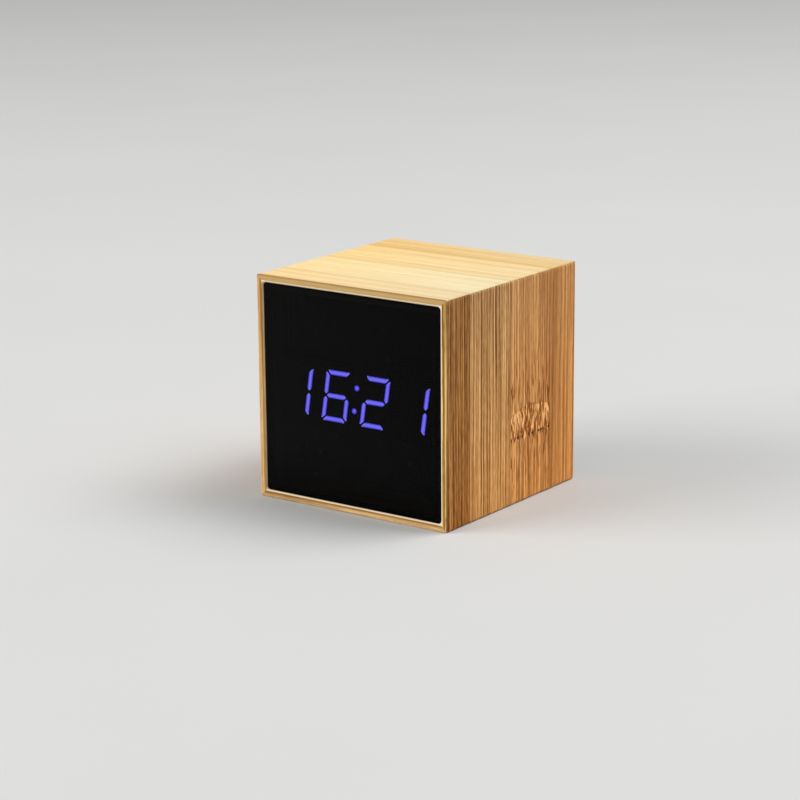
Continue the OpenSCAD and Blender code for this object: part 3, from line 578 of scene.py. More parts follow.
class HandlingMarks(SharedGroup):
    """Hair scratches and soft smudges on polished or plated faces."""

    name = "handling_marks"
    inputs = {"Place": "Vector", "Amount": "Float"}
    outputs = ("Scratch", "Smudge")
    hair_turns: tuple[Triple, ...] = ((0.5, 0.35, 0.5), (2.1, 1.47, 2.1))
    hair_scale: Triple = (60.0, 2600.0, 2600.0)
    hair_limits: Span = (0.66, 0.74)
    smudge_scale: float = 95.0
    smudge_limits: Span = (0.42, 0.68)

    def fill(self, tree: Tree, given: Sockets) -> Sockets:
        """Builds two sets of crossing hairlines and one of clouds.

        Args:
            tree: The group's tree.
            given: Its input sockets by name.

        Returns:
            Its output sources by name.
        """
        hairs = []
        for turn in self.hair_turns:
            turned = tree.mapped(given["Place"], self.hair_scale, turn)
            hairs.append(tree.ease(tree.noise(turned, 1.0, 1.0), *self.hair_limits))
        cloud = tree.ease(tree.noise(given["Place"], self.smudge_scale, 3.0, 0.6), *self.smudge_limits)
        scratch = tree.product(tree.largest(*hairs), given["Amount"])
        return {"Scratch": scratch, "Smudge": tree.product(cloud, given["Amount"])}


GRAIN = BambooGrain()
SPARK = SparkTexture()
MARKS = HandlingMarks()


class Finish:
    """Shared steps of the finishes, each of which makes one material."""

    def start(self, name: str) -> tuple[Material, Tree, Node, Socket]:
        """Begins a material.

        Args:
            name: The material's name.

        Returns:
            The material, its tree, its Principled shader and its Object coordinates.
        """
        material = bpy.data.materials.new(name)
        material.use_nodes = True
        material.node_tree.nodes.clear()
        tree = Tree(material.node_tree)
        shader = tree.add("BsdfPrincipled")
        tree.fed("OutputMaterial", {"Surface": shader.outputs[0]})
        return material, tree, shader, tree.add("TexCoord").outputs["Object"]

    def bump(
        self, tree: Tree, shader: Node, height: Source, strength: float, depth_mm: float
    ) -> None:
        """Gives a shader its relief.

        Args:
            tree: The material's tree.
            shader: Its Principled shader.
            height: Relief of about 0 to 1.
            strength: Share of it that shows.
            depth_mm: Depth of a full step.
        """
        sources = {"Strength": strength, "Distance": depth_mm * MM, "Height": height}
        tree.feed(shader.inputs["Normal"], tree.fed("Bump", sources).outputs[0])

    def tinted(self, tree: Tree, colour: Source, value: Source, spread: float) -> Socket:
        """Returns a colour that a value of 0 to 1 darkens or lightens by the given spread."""
        level = tree.scaled(value, 1.0 - spread, 1.0 + spread)
        return tree.mix(1.0, colour, tree.vector(level, level, level), "MULTIPLY")


class Board(Enum):
    """The four boards of the ring, each by its node."""

    TOP = "top_board"
    BOTTOM = "bottom_board"
    LEFT = "left_board"
    RIGHT = "right_board"


@dataclass(frozen=True)
class Lay:
    """Turns Object coordinates into millimetres along the grain, across the strips and into the wood."""

    shift: Triple
    turn: float
    scale: Triple

    def place(self, tree: Tree, source: Socket) -> Socket:
        """Returns the laid-out coordinates."""
        return tree.mapped(source, self.scale, (0.0, self.turn, 0.0), self.shift)


@dataclass(frozen=True)
class Bamboo(Finish):
    """Lacquered bamboo: pressed strips on the faces, layered edges at the rims, and pale edges with a
    painted highlight.
    """

    name: str
    lay: Lay
    strips: Strips
    seed: float
    contrast: float = 1.0
    knuckle_at: float = 22.0
    knuckle_strip: float = 1.0
    knuckle_depth: float = 0.0
    lively: tuple[float, ...] = (1.0, 1.0, 1.0, 1.0)
    sheen: float = 0.22
    seam: float = 0.0
    # Strength of the pale outer edges: wear, with a painted highlight.
    edge_wear_and_highlight: float = 0.3
    # Strength of the painted highlight on the bevel round the opening, over its pale raw wood.
    bevel: float = 0.9
    bevel_from: float = 1.62
    line_at: float = 1.32
    edge: float = CUBE_MM
    seam_w: float = 0.12
    rim_fade: Span = (0.55, 0.35)
    line_fade: Span = (0.26, 0.06)
    line_share: float = 0.7
    mitre_fade: Span = (0.09, 0.02)
    mitre_share: float = 0.55
    bevel_fade: float = 0.06
    # Width, depth and pitch of the worn outer edges with their painted highlight.
    wear_highlight_w: Span = (0.6, 0.15)
    wear_highlight_depth: Span = (0.8, 0.3)
    wear_highlight_pitch: float = 0.6
    rough: Span = (0.56, 0.44)
    dark_rough: float = 0.12
    relief: float = 0.35
    relief_mm: float = 0.06
    warm_end: Colour = (1.05, 1.00, 0.90)
    # Tint at the far end of the grain; on the right board it is painted shade towards the top.
    end_tint_and_shade: Colour = (0.95, 1.00, 1.10)
    rim: Colour = (0.58, 0.33, 0.108)
    glue_line: Colour = (0.27, 0.13, 0.036)
    # Pale raw wood with a painted highlight, for the bevel and the outer edges.
    raw_edge_highlight: Colour = (0.90, 0.76, 0.52)
    dark_share: Colour = (0.34, 0.22, 0.06)
    light_share: Colour = (1.75, 2.05, 2.70)
    fleck_share: Colour = (0.42, 0.26, 0.09)
    pit_colour: Colour = (0.055, 0.026, 0.010)

    def material(self) -> Material:
        """Makes the board's material.

        Returns:
            The material.
        """
        material, tree, shader, place = self.start(self.name)
        lay = self.lay.place(tree, place)
        along, across, deep = tree.parts(lay)
        grain = GRAIN.place(
            tree,
            Lay=lay,
            Seed=self.seed,
            Knuckle_At=self.knuckle_at,
            Knuckle_Strip=self.knuckle_strip,
            Knuckle_Depth=self.knuckle_depth,
        )
        to_end, to_rim = self.to_side(tree, along), self.to_side(tree, across)
        rim = tree.ease(to_rim, *self.rim_fade)
        base = tree.mix(rim, self.strip_colours(tree, along, across), rgba(self.rim))
        face = self.streaked(tree, base, grain, across)
        line = tree.ease(tree.off(deep, self.line_at), *self.line_fade)
        face = tree.mix(tree.product(line, rim, self.line_share), face, rgba(self.glue_line))
        mitre = tree.ease(tree.math("SUBTRACT", to_end, deep), *self.mitre_fade)
        face = tree.mix(tree.product(mitre, self.mitre_share), face, rgba(self.glue_line))
        patchy = tree.noise(lay, self.wear_highlight_pitch)
        # Painted highlight on the bevel and the outer edges, over pale raw wood and wear.
        pale = self.pale_edges_and_highlights(tree, tree.math("MINIMUM", to_end, to_rim), deep, rim, patchy)
        rough = tree.scaled(grain["Grain"], *self.rough)
        tree.feed_all(shader, {
            "Base Color": tree.mix(pale, face, rgba(self.raw_edge_highlight)),
            "Roughness": tree.math("MULTIPLY_ADD", grain["Dark"], self.dark_rough, rough),
            "Specular IOR Level": self.sheen,
        })
        self.bump(tree, shader, grain["Relief"], self.relief * self.contrast, self.relief_mm)
        return material

    def to_side(self, tree: Tree, run: Socket) -> Socket:
        """Returns the millimetres to the nearer end of a run across the whole board."""
        return tree.math("MINIMUM", run, tree.math("SUBTRACT", self.edge, run))

    def strip_colours(self, tree: Tree, along: Socket, across: Socket) -> Socket:
        """Colours the strips.

        Args:
            tree: The material's tree.
            along: Millimetres along the grain.
            across: Millimetres from the front.

        Returns:
            Each strip's own colour, which turns from its front edge to its rear one and is tinted along
            the grain; on the right board that tint is painted shade, darker towards the top.
        """
        tone = self.by_strip(tree, across, self.strips)
        share = tree.math("DIVIDE", along, self.edge)
        return tree.mix(1.0, tone, tree.mix(share, rgba(self.warm_end), rgba(self.end_tint_and_shade)), "MULTIPLY")

    def by_strip(self, tree: Tree, across: Socket, pairs: Sequence[tuple[Colour, Colour]]) -> Socket:
        """Gives each strip a colour of its own.

        Args:
            tree: The material's tree.
            across: Millimetres from the front.
            pairs: Colours at the front edge and the rear edge of each strip.

        Returns:
            The colour at that place.
        """
        seams = [GRAIN.first_seam + i * GRAIN.strip_w for i in range(len(pairs) - 1)]
        half = self.seam_w / 2
        stops = []
        for start, end, (front, rear) in zip([0.0, *seams], [*seams, self.edge], pairs):
            stops += [((start + half) / self.edge, front), ((end - half) / self.edge, rear)]
        return tree.ramp(tree.math("DIVIDE", across, self.edge), stops)

    def streaked(self, tree: Tree, base: Socket, grain: Sockets, across: Socket) -> Socket:
        """Draws the grain into a strip's colour.

        Args:
            tree: The material's tree.
            base: The strip's mean colour.
            grain: Outputs of the grain group.
            across: Millimetres from the front.

        Returns:
            The streaked colour.
        """
        def share(colour: Colour) -> Colour:
            """Returns a tint eased towards white by the board's contrast."""
            return tuple(1.0 + (c - 1.0) * self.contrast for c in colour)

        halves = [((level / 2,) * 3,) * 2 for level in self.lively]
        level = tree.product(self.by_strip(tree, across, halves), 2.0)
        drawn = tree.math("MULTIPLY_ADD", tree.math("SUBTRACT", grain["Grain"], 0.5), level, 0.5)
        white = (1.0, 1.0, 1.0)
        tones = [(0.0, share(self.dark_share)), (0.5, white), (1.0, share(self.light_share))]
        face = tree.mix(1.0, base, tree.ramp(drawn, tones), "MULTIPLY")
        fleck = tree.mix(1.0, base, rgba(share(self.fleck_share)), "MULTIPLY")
        face = tree.mix(grain["Dark"], face, fleck)
        if self.seam:
            face = tree.mix(tree.product(grain["Seam"], self.seam), face, fleck)
        return tree.mix(grain["Pit"], face, rgba(self.pit_colour))

    def pale_edges_and_highlights(self, tree: Tree, to_edge: Socket, deep: Socket, rim: Socket, patchy: Socket) -> Socket:
        """Finds the pale edges, which carry a painted highlight.

        Args:
            tree: The material's tree.
            to_edge: Millimetres to the nearest outer edge.
            deep: Millimetres below the outer face.
            rim: Mask of the two rims.
            patchy: Noise that breaks the worn, highlighted outer edges up.

        Returns:
            The mask of the bevel round the openings, pale raw wood with a painted highlight, and of the
            worn outer edges, also with a painted highlight.
        """
        cut = tree.ease(deep, self.bevel_from - self.bevel_fade, self.bevel_from + self.bevel_fade)
        near = tree.product(tree.ease(to_edge, *self.wear_highlight_w), tree.ease(deep, *self.wear_highlight_depth))
        return tree.largest(tree.product(cut, rim, self.bevel), tree.product(near, patchy, self.edge_wear_and_highlight))


@dataclass(frozen=True)
class PlainWood(Finish):
    """Sawn softwood of the corner posts, with its grain from front to back."""

    name: str = "post_wood"
    pale: Colour = (0.62, 0.47, 0.28)
    dark: Colour = (0.45, 0.30, 0.15)
    stretch: Triple = (1400.0, 40.0, 1400.0)
    limits: Span = (0.38, 0.62)
    rough: Span = (0.62, 0.85)
    relief: Span = (0.5, 0.1)

    def material(self) -> Material:
        """Makes the wood's material.

        Returns:
            The material.
        """
        material, tree, shader, place = self.start(self.name)
        rings = tree.noise(tree.mapped(place, self.stretch), 0.5, 3.0, 0.6)
        tree.feed_all(shader, {
            "Base Color": tree.mix(tree.ease(rings, *self.limits), rgba(self.pale), rgba(self.dark)),
            "Roughness": tree.scaled(rings, *self.rough),
        })
        self.bump(tree, shader, rings, *self.relief)
        return material


@dataclass(frozen=True)
class SmokedAcrylic(Finish):
    """A clear tinted sheet: what glows behind it shows, and the rest stays black."""

    name: str = "smoked_acrylic"
    tint: Colour = (0.050, 0.050, 0.054)
    smudge: float = 0.04
    rough: Span = (0.0, 0.02)
    gloss: float = 0.02
    index: float = 1.49

    def material(self) -> Material:
        """Makes the sheet's material, which lets the light of lamps in through its tint.

        Returns:
            The material.
        """
        material, tree, shader, place = self.start(self.name)
        marks = MARKS.place(tree, Place=place, Amount=1.0)
        tree.feed_all(shader, {
            "Base Color": self.tinted(tree, rgba(self.tint), marks["Smudge"], self.smudge),
            "Roughness": tree.scaled(marks["Smudge"], *self.rough),
            "Transmission Weight": 1.0,
            "IOR": self.index,
            "Specular Tint": rgba((self.gloss,) * 3),
        })
        clear = tree.fed("BsdfTransparent", {"Color": rgba(self.tint)})
        shadow = tree.add("LightPath").outputs["Is Shadow Ray"]
        output = next(n for n in tree.tree.nodes if n.type == "OUTPUT_MATERIAL")
        tree.feed(output.inputs["Surface"], tree.choose(shadow, shader, clear))
        return material


@dataclass(frozen=True)
class CastLens(Finish):
    """Cast resin of the display's segments: dark, or lit from behind and palest along the middle."""

    name: str
    body: Colour
    core: Colour = (0.0, 0.0, 0.0)
    halo: Colour = (0.0, 0.0, 0.0)
    power: float = 0.0
    middle_z: float = CUBE_MM / 2 * MM
    lean: float = math.tan(math.radians(8.5))
    digit_pitch: float = 12.7 * MM
    upright_at: float = 3.5 * MM
    bar_at: float = 6.425 * MM
    dot_at: float = 3.2 * MM
    spine: float = 0.1 * MM
    brink: float = 0.7 * MM
    waver: float = 0.5 * MM
    cloud_scale: float = 1500.0
    spread: float = 0.25
    rough: Span = (0.3, 0.5)

    def material(self) -> Material:
        """Makes the lens's material.

        Returns:
            The material.
        """
        material, tree, shader, place = self.start(self.name)
        cloud = tree.noise(place, self.cloud_scale)
        tree.feed_all(shader, {
            "Base Color": self.tinted(tree, rgba(self.body), cloud, self.spread),
            "Roughness": tree.scaled(cloud, *self.rough),
        })
        if self.power:
            wavering = tree.math("SUBTRACT", cloud, 0.5)
            away = tree.math("MULTIPLY_ADD", wavering, self.waver, self.off_middle(tree, place))
            glow = tree.mix(tree.ease(away, self.spine, self.brink), rgba(self.core), rgba(self.halo))
            tree.feed_all(shader, {"Emission Color": glow, "Emission Strength": self.power})
        return material

    def off_middle(self, tree: Tree, place: Socket) -> Socket:
        """Measures how far a point lies from the middle line of its segment or dot.

        Args:
            tree: The material's tree.
            place: Object coordinates.

        Returns:
            The distance in metres.
        """
        x, _, z = tree.parts(place)
        up = tree.math("SUBTRACT", z, self.middle_z)
        upright_x = tree.math("MULTIPLY_ADD", up, -self.lean, x)
        half_pitch = self.digit_pitch / 2
        beside = tree.math("PINGPONG", tree.math("ADD", upright_x, half_pitch), half_pitch)
        to_bar = tree.math("PINGPONG", up, self.bar_at / 2)
        to_segment = tree.math("MINIMUM", tree.off(beside, self.upright_at), to_bar)
        to_level = tree.math("SUBTRACT", tree.math("ABSOLUTE", up), self.dot_at)
        return tree.math("MINIMUM", to_segment, tree.math("SQRT", tree.squares(to_level, upright_x)))


@dataclass(frozen=True)
class MouldedResin(Finish):
    """Moulded plastic with the eroded texture of its mould."""

    name: str
    colour: Colour
    rough: float = 0.5
    pitch: float = 7000.0
    depth_mm: float = 0.02
    dust: float = 0.3
    dust_colour: Colour = (0.14, 0.135, 0.13)
    spread: float = 0.30
    rough_spread: float = 0.1
    relief: float = 0.6

    def material(self) -> Material:
        """Makes the plastic's material.

        Returns:
            The material.
        """
        material, tree, shader, place = self.start(self.name)
        self.dress(tree, shader, place, rgba(self.colour))
        return material

    def dress(self, tree: Tree, shader: Node, place: Socket, colour: Source) -> None:
        """Feeds a shader with the plastic.

        Args:
            tree: The material's tree.
            shader: Its Principled shader.
            place: Object coordinates.
            colour: The plastic's colour.
        """
        spark = SPARK.place(tree, Place=place, Pitch=self.pitch, Dust=self.dust)
        body = self.tinted(tree, colour, spark["Tint"], self.spread)
        rough = (self.rough - self.rough_spread, self.rough + self.rough_spread)
        tree.feed_all(shader, {
            "Base Color": tree.mix(spark["Dust"], body, rgba(self.dust_colour)),
            "Roughness": tree.scaled(spark["Tint"], *rough),
        })
        self.bump(tree, shader, spark["Height"], self.relief, self.depth_mm)


@dataclass(frozen=True)
class PlatedMetal(Finish):
    """Plated or bright metal with hair scratches and a little tarnish."""

    name: str
    colour: Colour
    tarnish: Colour
    rough: float = 0.24
    smudge_rough: float = 0.14
    scratch_rough: float = 0.15
    relief: Span = (0.3, 0.01)

    def material(self) -> Material:
        """Makes the metal's material.

        Returns:
            The material.
        """
        material, tree, shader, place = self.start(self.name)
        marks = MARKS.place(tree, Place=place, Amount=1.0)
        rough = tree.scaled(marks["Smudge"], self.rough, self.rough + self.smudge_rough)
        tree.feed_all(shader, {
            "Base Color": tree.mix(marks["Smudge"], rgba(self.colour), rgba(self.tarnish)),
            "Metallic": 1.0,
            "Roughness": tree.math("MULTIPLY_ADD", marks["Scratch"], self.scratch_rough, rough),
        })
        self.bump(tree, shader, marks["Scratch"], *self.relief)
        return material


@dataclass(frozen=True)
class MarkedKey(MouldedResin):
    """Key plastic whose cut mark is filled with paint."""

    axis: Span = (0.0, 0.0)
    top: float = 0.0
    mark_r: float = 1.5 * MM
    mark_from: float = 0.1 * MM
    mark_to: float = 0.4 * MM
    paint: Colour = (0.72, 0.72, 0.70)

    def material(self) -> Material:
        """Makes the key's material, painted below its top and near its axis.

        Returns:
            The material.
        """
        material, tree, shader, place = self.start(self.name)
        x, y, z = tree.parts(place)
        aside = (tree.math("SUBTRACT", run, middle) for run, middle in zip((x, z), self.axis))
        inside = tree.math("LESS_THAN", tree.squares(*aside), self.mark_r**2)
        drop = tree.math("SUBTRACT", self.top, y)
        sunk = tree.math("GREATER_THAN", drop, self.mark_from)
        filled = tree.product(sunk, inside, tree.math("LESS_THAN", drop, self.mark_to))
        self.dress(tree, shader, place, tree.mix(filled, rgba(self.colour), rgba(self.paint)))
        return material


@dataclass(frozen=True)
class CircuitLaminate(Finish):
    """Solder mask over copper tracks, with tinned pads."""

    name: str = "circuit_board"
    mask: Colour = (0.012, 0.085, 0.040)
    track: Colour = (0.030, 0.160, 0.070)
    pad: Colour = (0.62, 0.60, 0.55)
    lane: float = 0.9 * MM
    track_edge: Span = (0.22 * MM, 0.16 * MM)
    patch: Span = (500.0, 90.0)
    patch_limits: Span = (0.5, 0.54)
    pad_scale: float = 210.0
    pad_edge: Span = (0.16, 0.13)
    cloud_scale: float = 700.0
    rough: Span = (0.28, 0.48)
    relief: Span = (0.4, 0.03)

    def material(self) -> Material:
        """Makes the board's material.

        Returns:
            The material.
        """
        material, tree, shader, place = self.start(self.name)
        x, _, z = tree.parts(place)
        lines = []
        for run, step in ((x, z), (z, x)):
            drawn = tree.ease(tree.math("PINGPONG", run, self.lane), *self.track_edge)
            patch = tree.vector(tree.product(run, self.patch[0]), tree.product(step, self.patch[1]), 0.0)
            lines.append(tree.product(drawn, tree.ease(tree.noise(patch, 1.0, 1.0), *self.patch_limits)))
        tracks = tree.largest(*lines)
        dots = tree.ease(tree.cells(tree.vector(x, 0.0, z), self.pad_scale), *self.pad_edge)
        colour = tree.mix(tracks, rgba(self.mask), rgba(self.track))
        tree.feed_all(shader, {
            "Base Color": tree.mix(dots, colour, rgba(self.pad)),
            "Metallic": dots,
            "Roughness": tree.scaled(tree.noise(place, self.cloud_scale), *self.rough),
        })
        self.bump(tree, shader, tree.largest(tracks, dots), *self.relief)
        return material


@dataclass(frozen=True)
class BandedPart(Finish):
    """A small component whose ends, legs or top are of another stuff than its body."""

    name: str
    body: Colour
    ends: Colour
    axis: int
    middle: float
    reach: float
    fade: float = 0.05 * MM
    pitch: float = 9000.0
    dust: float = 0.3
    spread: float = 0.3
    rough: Span = (0.35, 0.55)
    relief: Span = (0.4, 0.015)

    def material(self) -> Material:
        """Makes the component's material, bare metal past its reach from the middle.

        Returns:
            The material.
        """
        material, tree, shader, place = self.start(self.name)
        along = tree.off(tree.parts(place)[self.axis], self.middle)
        bare = tree.ease(along, self.reach, self.reach + self.fade)
        spark = SPARK.place(tree, Place=place, Pitch=self.pitch, Dust=self.dust)
        body = self.tinted(tree, rgba(self.body), spark["Tint"], self.spread)
        tree.feed_all(shader, {
            "Base Color": tree.mix(bare, body, rgba(self.ends)),
            "Metallic": bare,
            "Roughness": tree.scaled(spark["Tint"], *self.rough),
        })
        self.bump(tree, shader, spark["Height"], *self.relief)
        return material


@dataclass(frozen=True)
class FoamTape(Finish):
    """Black foam tape with open pores at its cut edge."""

    name: str = "black_tape"
    colour: Colour = (0.012, 0.012, 0.013)
    pore_scale: float = 9000.0
    spread: float = 0.5
    rough: Span = (0.95, 0.8)
    relief: Span = (0.7, 0.05)

    def material(self) -> Material:
        """Makes the tape's material.

        Returns:
            The material.
        """
        material, tree, shader, place = self.start(self.name)
        pores = tree.cells(place, self.pore_scale)
        tree.feed_all(shader, {
            "Base Color": self.tinted(tree, rgba(self.colour), pores, self.spread),
            "Roughness": tree.scaled(pores, *self.rough),
        })
        self.bump(tree, shader, pores, *self.relief)
        return material


class Way(Enum):
    """Where a cell's nub points, as the sign of X."""

    RIGHT = 1.0
    LEFT = -1.0


@dataclass(frozen=True)
class CellSleeve(Finish):
    """A cell's printed sleeve, shrunk over a plated can."""

    name: str
    centre: Vector
    way: Way
    radius: float
    can: float
    band_at: float = 0.24
    line_at: float = 0.215
    line_edge: Span = (0.35 * MM, 0.3 * MM)
    fade: float = 0.06 * MM
    end_skin: float = 0.05 * MM
    crimp: Span = (1.0 * MM, 1.1 * MM)
    seat: Span = (3.0 * MM, 3.1 * MM)
    foil: float = 0.55
    marks: float = 0.6
    rough: Span = (0.26, 0.42)
    coat: Span = (0.4, 0.12)
    relief: Span = (0.25, 0.01)
    body: Colour = (0.030, 0.075, 0.125)
    band: Colour = (0.52, 0.54, 0.55)
    steel: Colour = (0.66, 0.65, 0.62)
    washer: Colour = (0.80, 0.78, 0.72)

    def material(self) -> Material:
        """Makes the sleeve's material, in bands along the cell and round its ends.

        Returns:
            The material.
        """
        material, tree, shader, place = self.start(self.name)
        sign = self.way.value
        along, y, z = tree.parts(tree.mapped(place, (sign,) * 3, shift=-self.centre * sign))
        off_axis = tree.math("SQRT", tree.squares(y, z))
        marks = MARKS.place(tree, Place=place, Amount=self.marks)
        band = tree.ease(along, self.can * self.band_at, self.can * self.band_at + self.fade)
        line = tree.ease(tree.off(along, self.can * self.line_at), *self.line_edge)
        sleeve = tree.mix(tree.largest(band, line), rgba(self.body), rgba(self.band))
        past_end = tree.math("GREATER_THAN", tree.math("ABSOLUTE", along), self.can / 2 - self.end_skin)
        bare = tree.product(past_end, tree.ease(off_axis, *(self.radius - w for w in self.crimp)))
        front = tree.math("GREATER_THAN", along, 0.0)
        washer = tree.product(tree.ease(off_axis, *self.seat), front, bare)
        foil = tree.product(tree.math("SUBTRACT", 1.0, bare), self.foil)
        tree.feed_all(shader, {
            "Base Color": tree.mix(washer, tree.mix(bare, sleeve, rgba(self.steel)), rgba(self.washer)),
            "Metallic": tree.largest(tree.math("SUBTRACT", bare, washer), foil),
            "Roughness": tree.scaled(marks["Smudge"], *self.rough),
            "Coat Weight": self.coat[0],
            "Coat Roughness": self.coat[1],
        })
        self.bump(tree, shader, marks["Scratch"], *self.relief)
        return material


@dataclass(frozen=True)
class WireSleeve(Finish):
    """Soft insulation of a lead, with a little bloom on it."""

    name: str
    colour: Colour
    bloom: Colour
    cloud_scale: float = 600.0
    bloom_limits: Span = (0.45, 0.7)
    bloom_share: float = 0.3
    rough: Span = (0.35, 0.55)
    skin_scale: float = 5000.0
    relief: Span = (0.3, 0.02)

    def material(self) -> Material:
        """Makes the insulation's material.

        Returns:
            The material.
        """
        material, tree, shader, place = self.start(self.name)
        cloud = tree.noise(place, self.cloud_scale, 3.0, 0.6)
        share = tree.scaled(tree.ease(cloud, *self.bloom_limits), 0.0, self.bloom_share)
        tree.feed_all(shader, {
            "Base Color": tree.mix(share, rgba(self.colour), rgba(self.bloom)),
            "Roughness": tree.scaled(cloud, *self.rough),
        })
        self.bump(tree, shader, tree.noise(place, self.skin_scale), *self.relief)
        return material


@dataclass(frozen=True)
class RibbonSleeve(Finish):
    """Flat cable insulation with a coloured first conductor."""

    name: str
    first_edge: float
    pitch: float
    colour: Colour = (0.34, 0.34, 0.35)
    stripe: Colour = (0.45, 0.035, 0.025)
    stripe_fade: Span = (1.0, 0.8)
    cloud_scale: float = 500.0
    spread: float = 0.15
    rough: Span = (0.4, 0.6)
    skin_scale: float = 6000.0
    relief: Span = (0.2, 0.02)

    def material(self) -> Material:
        """Makes the ribbon's material.

        Returns:
            The material.
        """
        material, tree, shader, place = self.start(self.name)
        cloud = tree.noise(place, self.cloud_scale, 3.0, 0.6)
        body = self.tinted(tree, rgba(self.colour), cloud, self.spread)
        start, end = (self.first_edge + share * self.pitch for share in self.stripe_fade)
        first = tree.ease(tree.parts(place)[0], start, end)
        tree.feed_all(shader, {
            "Base Color": tree.mix(first, body, rgba(self.stripe)),
            "Roughness": tree.scaled(cloud, *self.rough),
        })
        self.bump(tree, shader, tree.noise(place, self.skin_scale), *self.relief)
        return material


class Bench:
    """Models one piece at a time with Blender's own operators."""

    merge_gap: float = 0.001 * MM
    tube_steps: int = 4
    tube_crease: float = 60.0

    @staticmethod
    def clear() -> None:
        """Goes back to object mode with nothing selected."""
        active = bpy.context.view_layer.objects.active
        if active and active.mode != "OBJECT":
            bpy.ops.object.mode_set(mode="OBJECT")
        bpy.ops.object.select_all(action="DESELECT")

    @staticmethod
    def only(*pieces: Piece) -> None:
        """Selects pieces, and nothing else, and makes the first of them active.

        Args:
            pieces: What is selected.
        """
        Bench.clear()
        for piece in pieces:
            piece.select_set(True)
        bpy.context.view_layer.objects.active = pieces[0]

    @staticmethod
    def named(name: str) -> Piece:
        """Names the active object and puts its place into its mesh.

        Args:
            name: The piece's name.

        Returns:
            The object, at the origin.
        """
        piece = bpy.context.object
        piece.name = name
        piece.data.name = name
        bpy.ops.object.transform_apply(location=True, rotation=True, scale=True)
        return piece

    @staticmethod
    def pick(piece: Piece, wanted: Callable[[bmesh.types.BMFace], bool]) -> None:
        """Selects the faces, in edit mode, for which wanted is true.

        Args:
            piece: The object in edit mode.
            wanted: Tells whether a face is selected.
        """
        mesh = bmesh.from_edit_mesh(piece.data)
        bpy.ops.mesh.select_all(action="DESELECT")
        for face in mesh.faces:
            face.select_set(bool(wanted(face)))
        mesh.select_flush_mode()
        bmesh.update_edit_mesh(piece.data)

    @staticmethod
    def pick_edges(piece: Piece, wanted: Callable[[bmesh.types.BMEdge], bool]) -> None:
        """Selects the edges, in edit mode, for which wanted is true.

        Args:
            piece: The object in edit mode.
            wanted: Tells whether an edge is selected.
        """
        bpy.ops.mesh.select_mode(type="EDGE")
        bpy.ops.mesh.select_all(action="DESELECT")
        mesh = bmesh.from_edit_mesh(piece.data)
        for edge in mesh.edges:
            edge.select_set(bool(wanted(edge)))
        bmesh.update_edit_mesh(piece.data)

    @staticmethod
    def extrude(x: float, y: float, z: float) -> None:
        """Extrudes the selected faces together by a vector."""
        bpy.ops.mesh.extrude_region_move(TRANSFORM_OT_translate={"value": (x, y, z)})

    @staticmethod
    def smooth(piece: Piece, degrees: float) -> None:
        """Shades a piece smooth apart from edges sharper than the given angle."""
        Bench.only(piece)
        bpy.ops.object.shade_smooth_by_angle(angle=math.radians(degrees))

    @staticmethod
    def copy(piece: Piece, name: str, turn: float, pivot: Vector, shift: Vector) -> Piece:
        """Copies a piece with a mesh of its own.

        Args:
            piece: What is copied.
            name: The copy's name.
            turn: Turn about the vertical through the pivot, in radians.
            pivot: A point that the turn keeps.
            shift: How far the copy then moves.

        Returns:
            The copy, at the origin.
        """
        Bench.only(piece)
        bpy.ops.object.duplicate(linked=False)
        made = bpy.context.object
        spun = Matrix.Translation(pivot) @ Matrix.Rotation(turn, 4, "Z") @ Matrix.Translation(-pivot)
        made.matrix_world = Matrix.Translation(shift) @ spun @ made.matrix_world
        return Bench.named(name)

    @staticmethod
    def line(name: str, points: Sequence[Sequence[float]], closed: bool = False) -> Piece:
        """Draws a curve of straight stretches.

        Args:
            name: The curve's name.
            points: Its points.
            closed: Whether it is a closed flat outline.

        Returns:
            The curve's object.
        """
        curve = bpy.data.curves.new(name, "CURVE")
        curve.dimensions = "2D" if closed else "3D"
        spline = curve.splines.new("POLY")
        spline.points.add(len(points) - 1)
        for point, place in zip(spline.points, points):
            point.co = (*place, 1.0)
        spline.use_cyclic_u = closed
        made = bpy.data.objects.new(name, curve)
        bpy.context.scene.collection.objects.link(made)
        return made

    @staticmethod
    def tube(name: str, route: Sequence[Vector], radius: float, profile: Piece | None = None) -> Piece:
        """Draws a round or profiled bar along a route and makes it a mesh.

        Args:
            name: The piece's name.
            route: Points that the bar's middle follows.
            radius: Radius of a round bar.
            profile: A flat curve to sweep instead.

        Returns:
            The closed mesh, at the origin.
        """
        piece = Bench.line(name, route)
        curve = piece.data
        curve.use_fill_caps = True
        curve.bevel_resolution = Bench.tube_steps
        if profile is None:
            curve.bevel_depth = radius
        else:
            curve.bevel_mode = "OBJECT"
            curve.bevel_object = profile
            curve.twist_mode = "Z_UP"
        Bench.only(piece)
        bpy.ops.object.convert(target="MESH")
        bpy.ops.object.mode_set(mode="EDIT")
        bpy.ops.mesh.select_all(action="SELECT")
        bpy.ops.mesh.remove_doubles(threshold=Bench.merge_gap)
        bpy.ops.mesh.normals_make_consistent(inside=False)
        bpy.ops.object.mode_set(mode="OBJECT")
        return Bench.named(name)


def smooth_route(points: Sequence[Vector], steps: int) -> list[Vector]:
    """Rounds a route off.

    Args:
        points: Points chosen by hand, which the route passes.
        steps: Pieces between two of them.

    Returns:
        The points of a smooth route.
    """
    last = len(points) - 1
    route = []
    for i in range(last):
        a, b, c, d = points[max(i - 1, 0)], points[i], points[i + 1], points[min(i + 2, last)]
        for s in range(steps):
            t = s / steps
            bend = (2 * a - 5 * b + 4 * c - d) * t**2 + (3 * b - a - 3 * c + d) * t**3
            route.append((2 * b + (c - a) * t + bend) / 2)
    return [*route, points[last]]


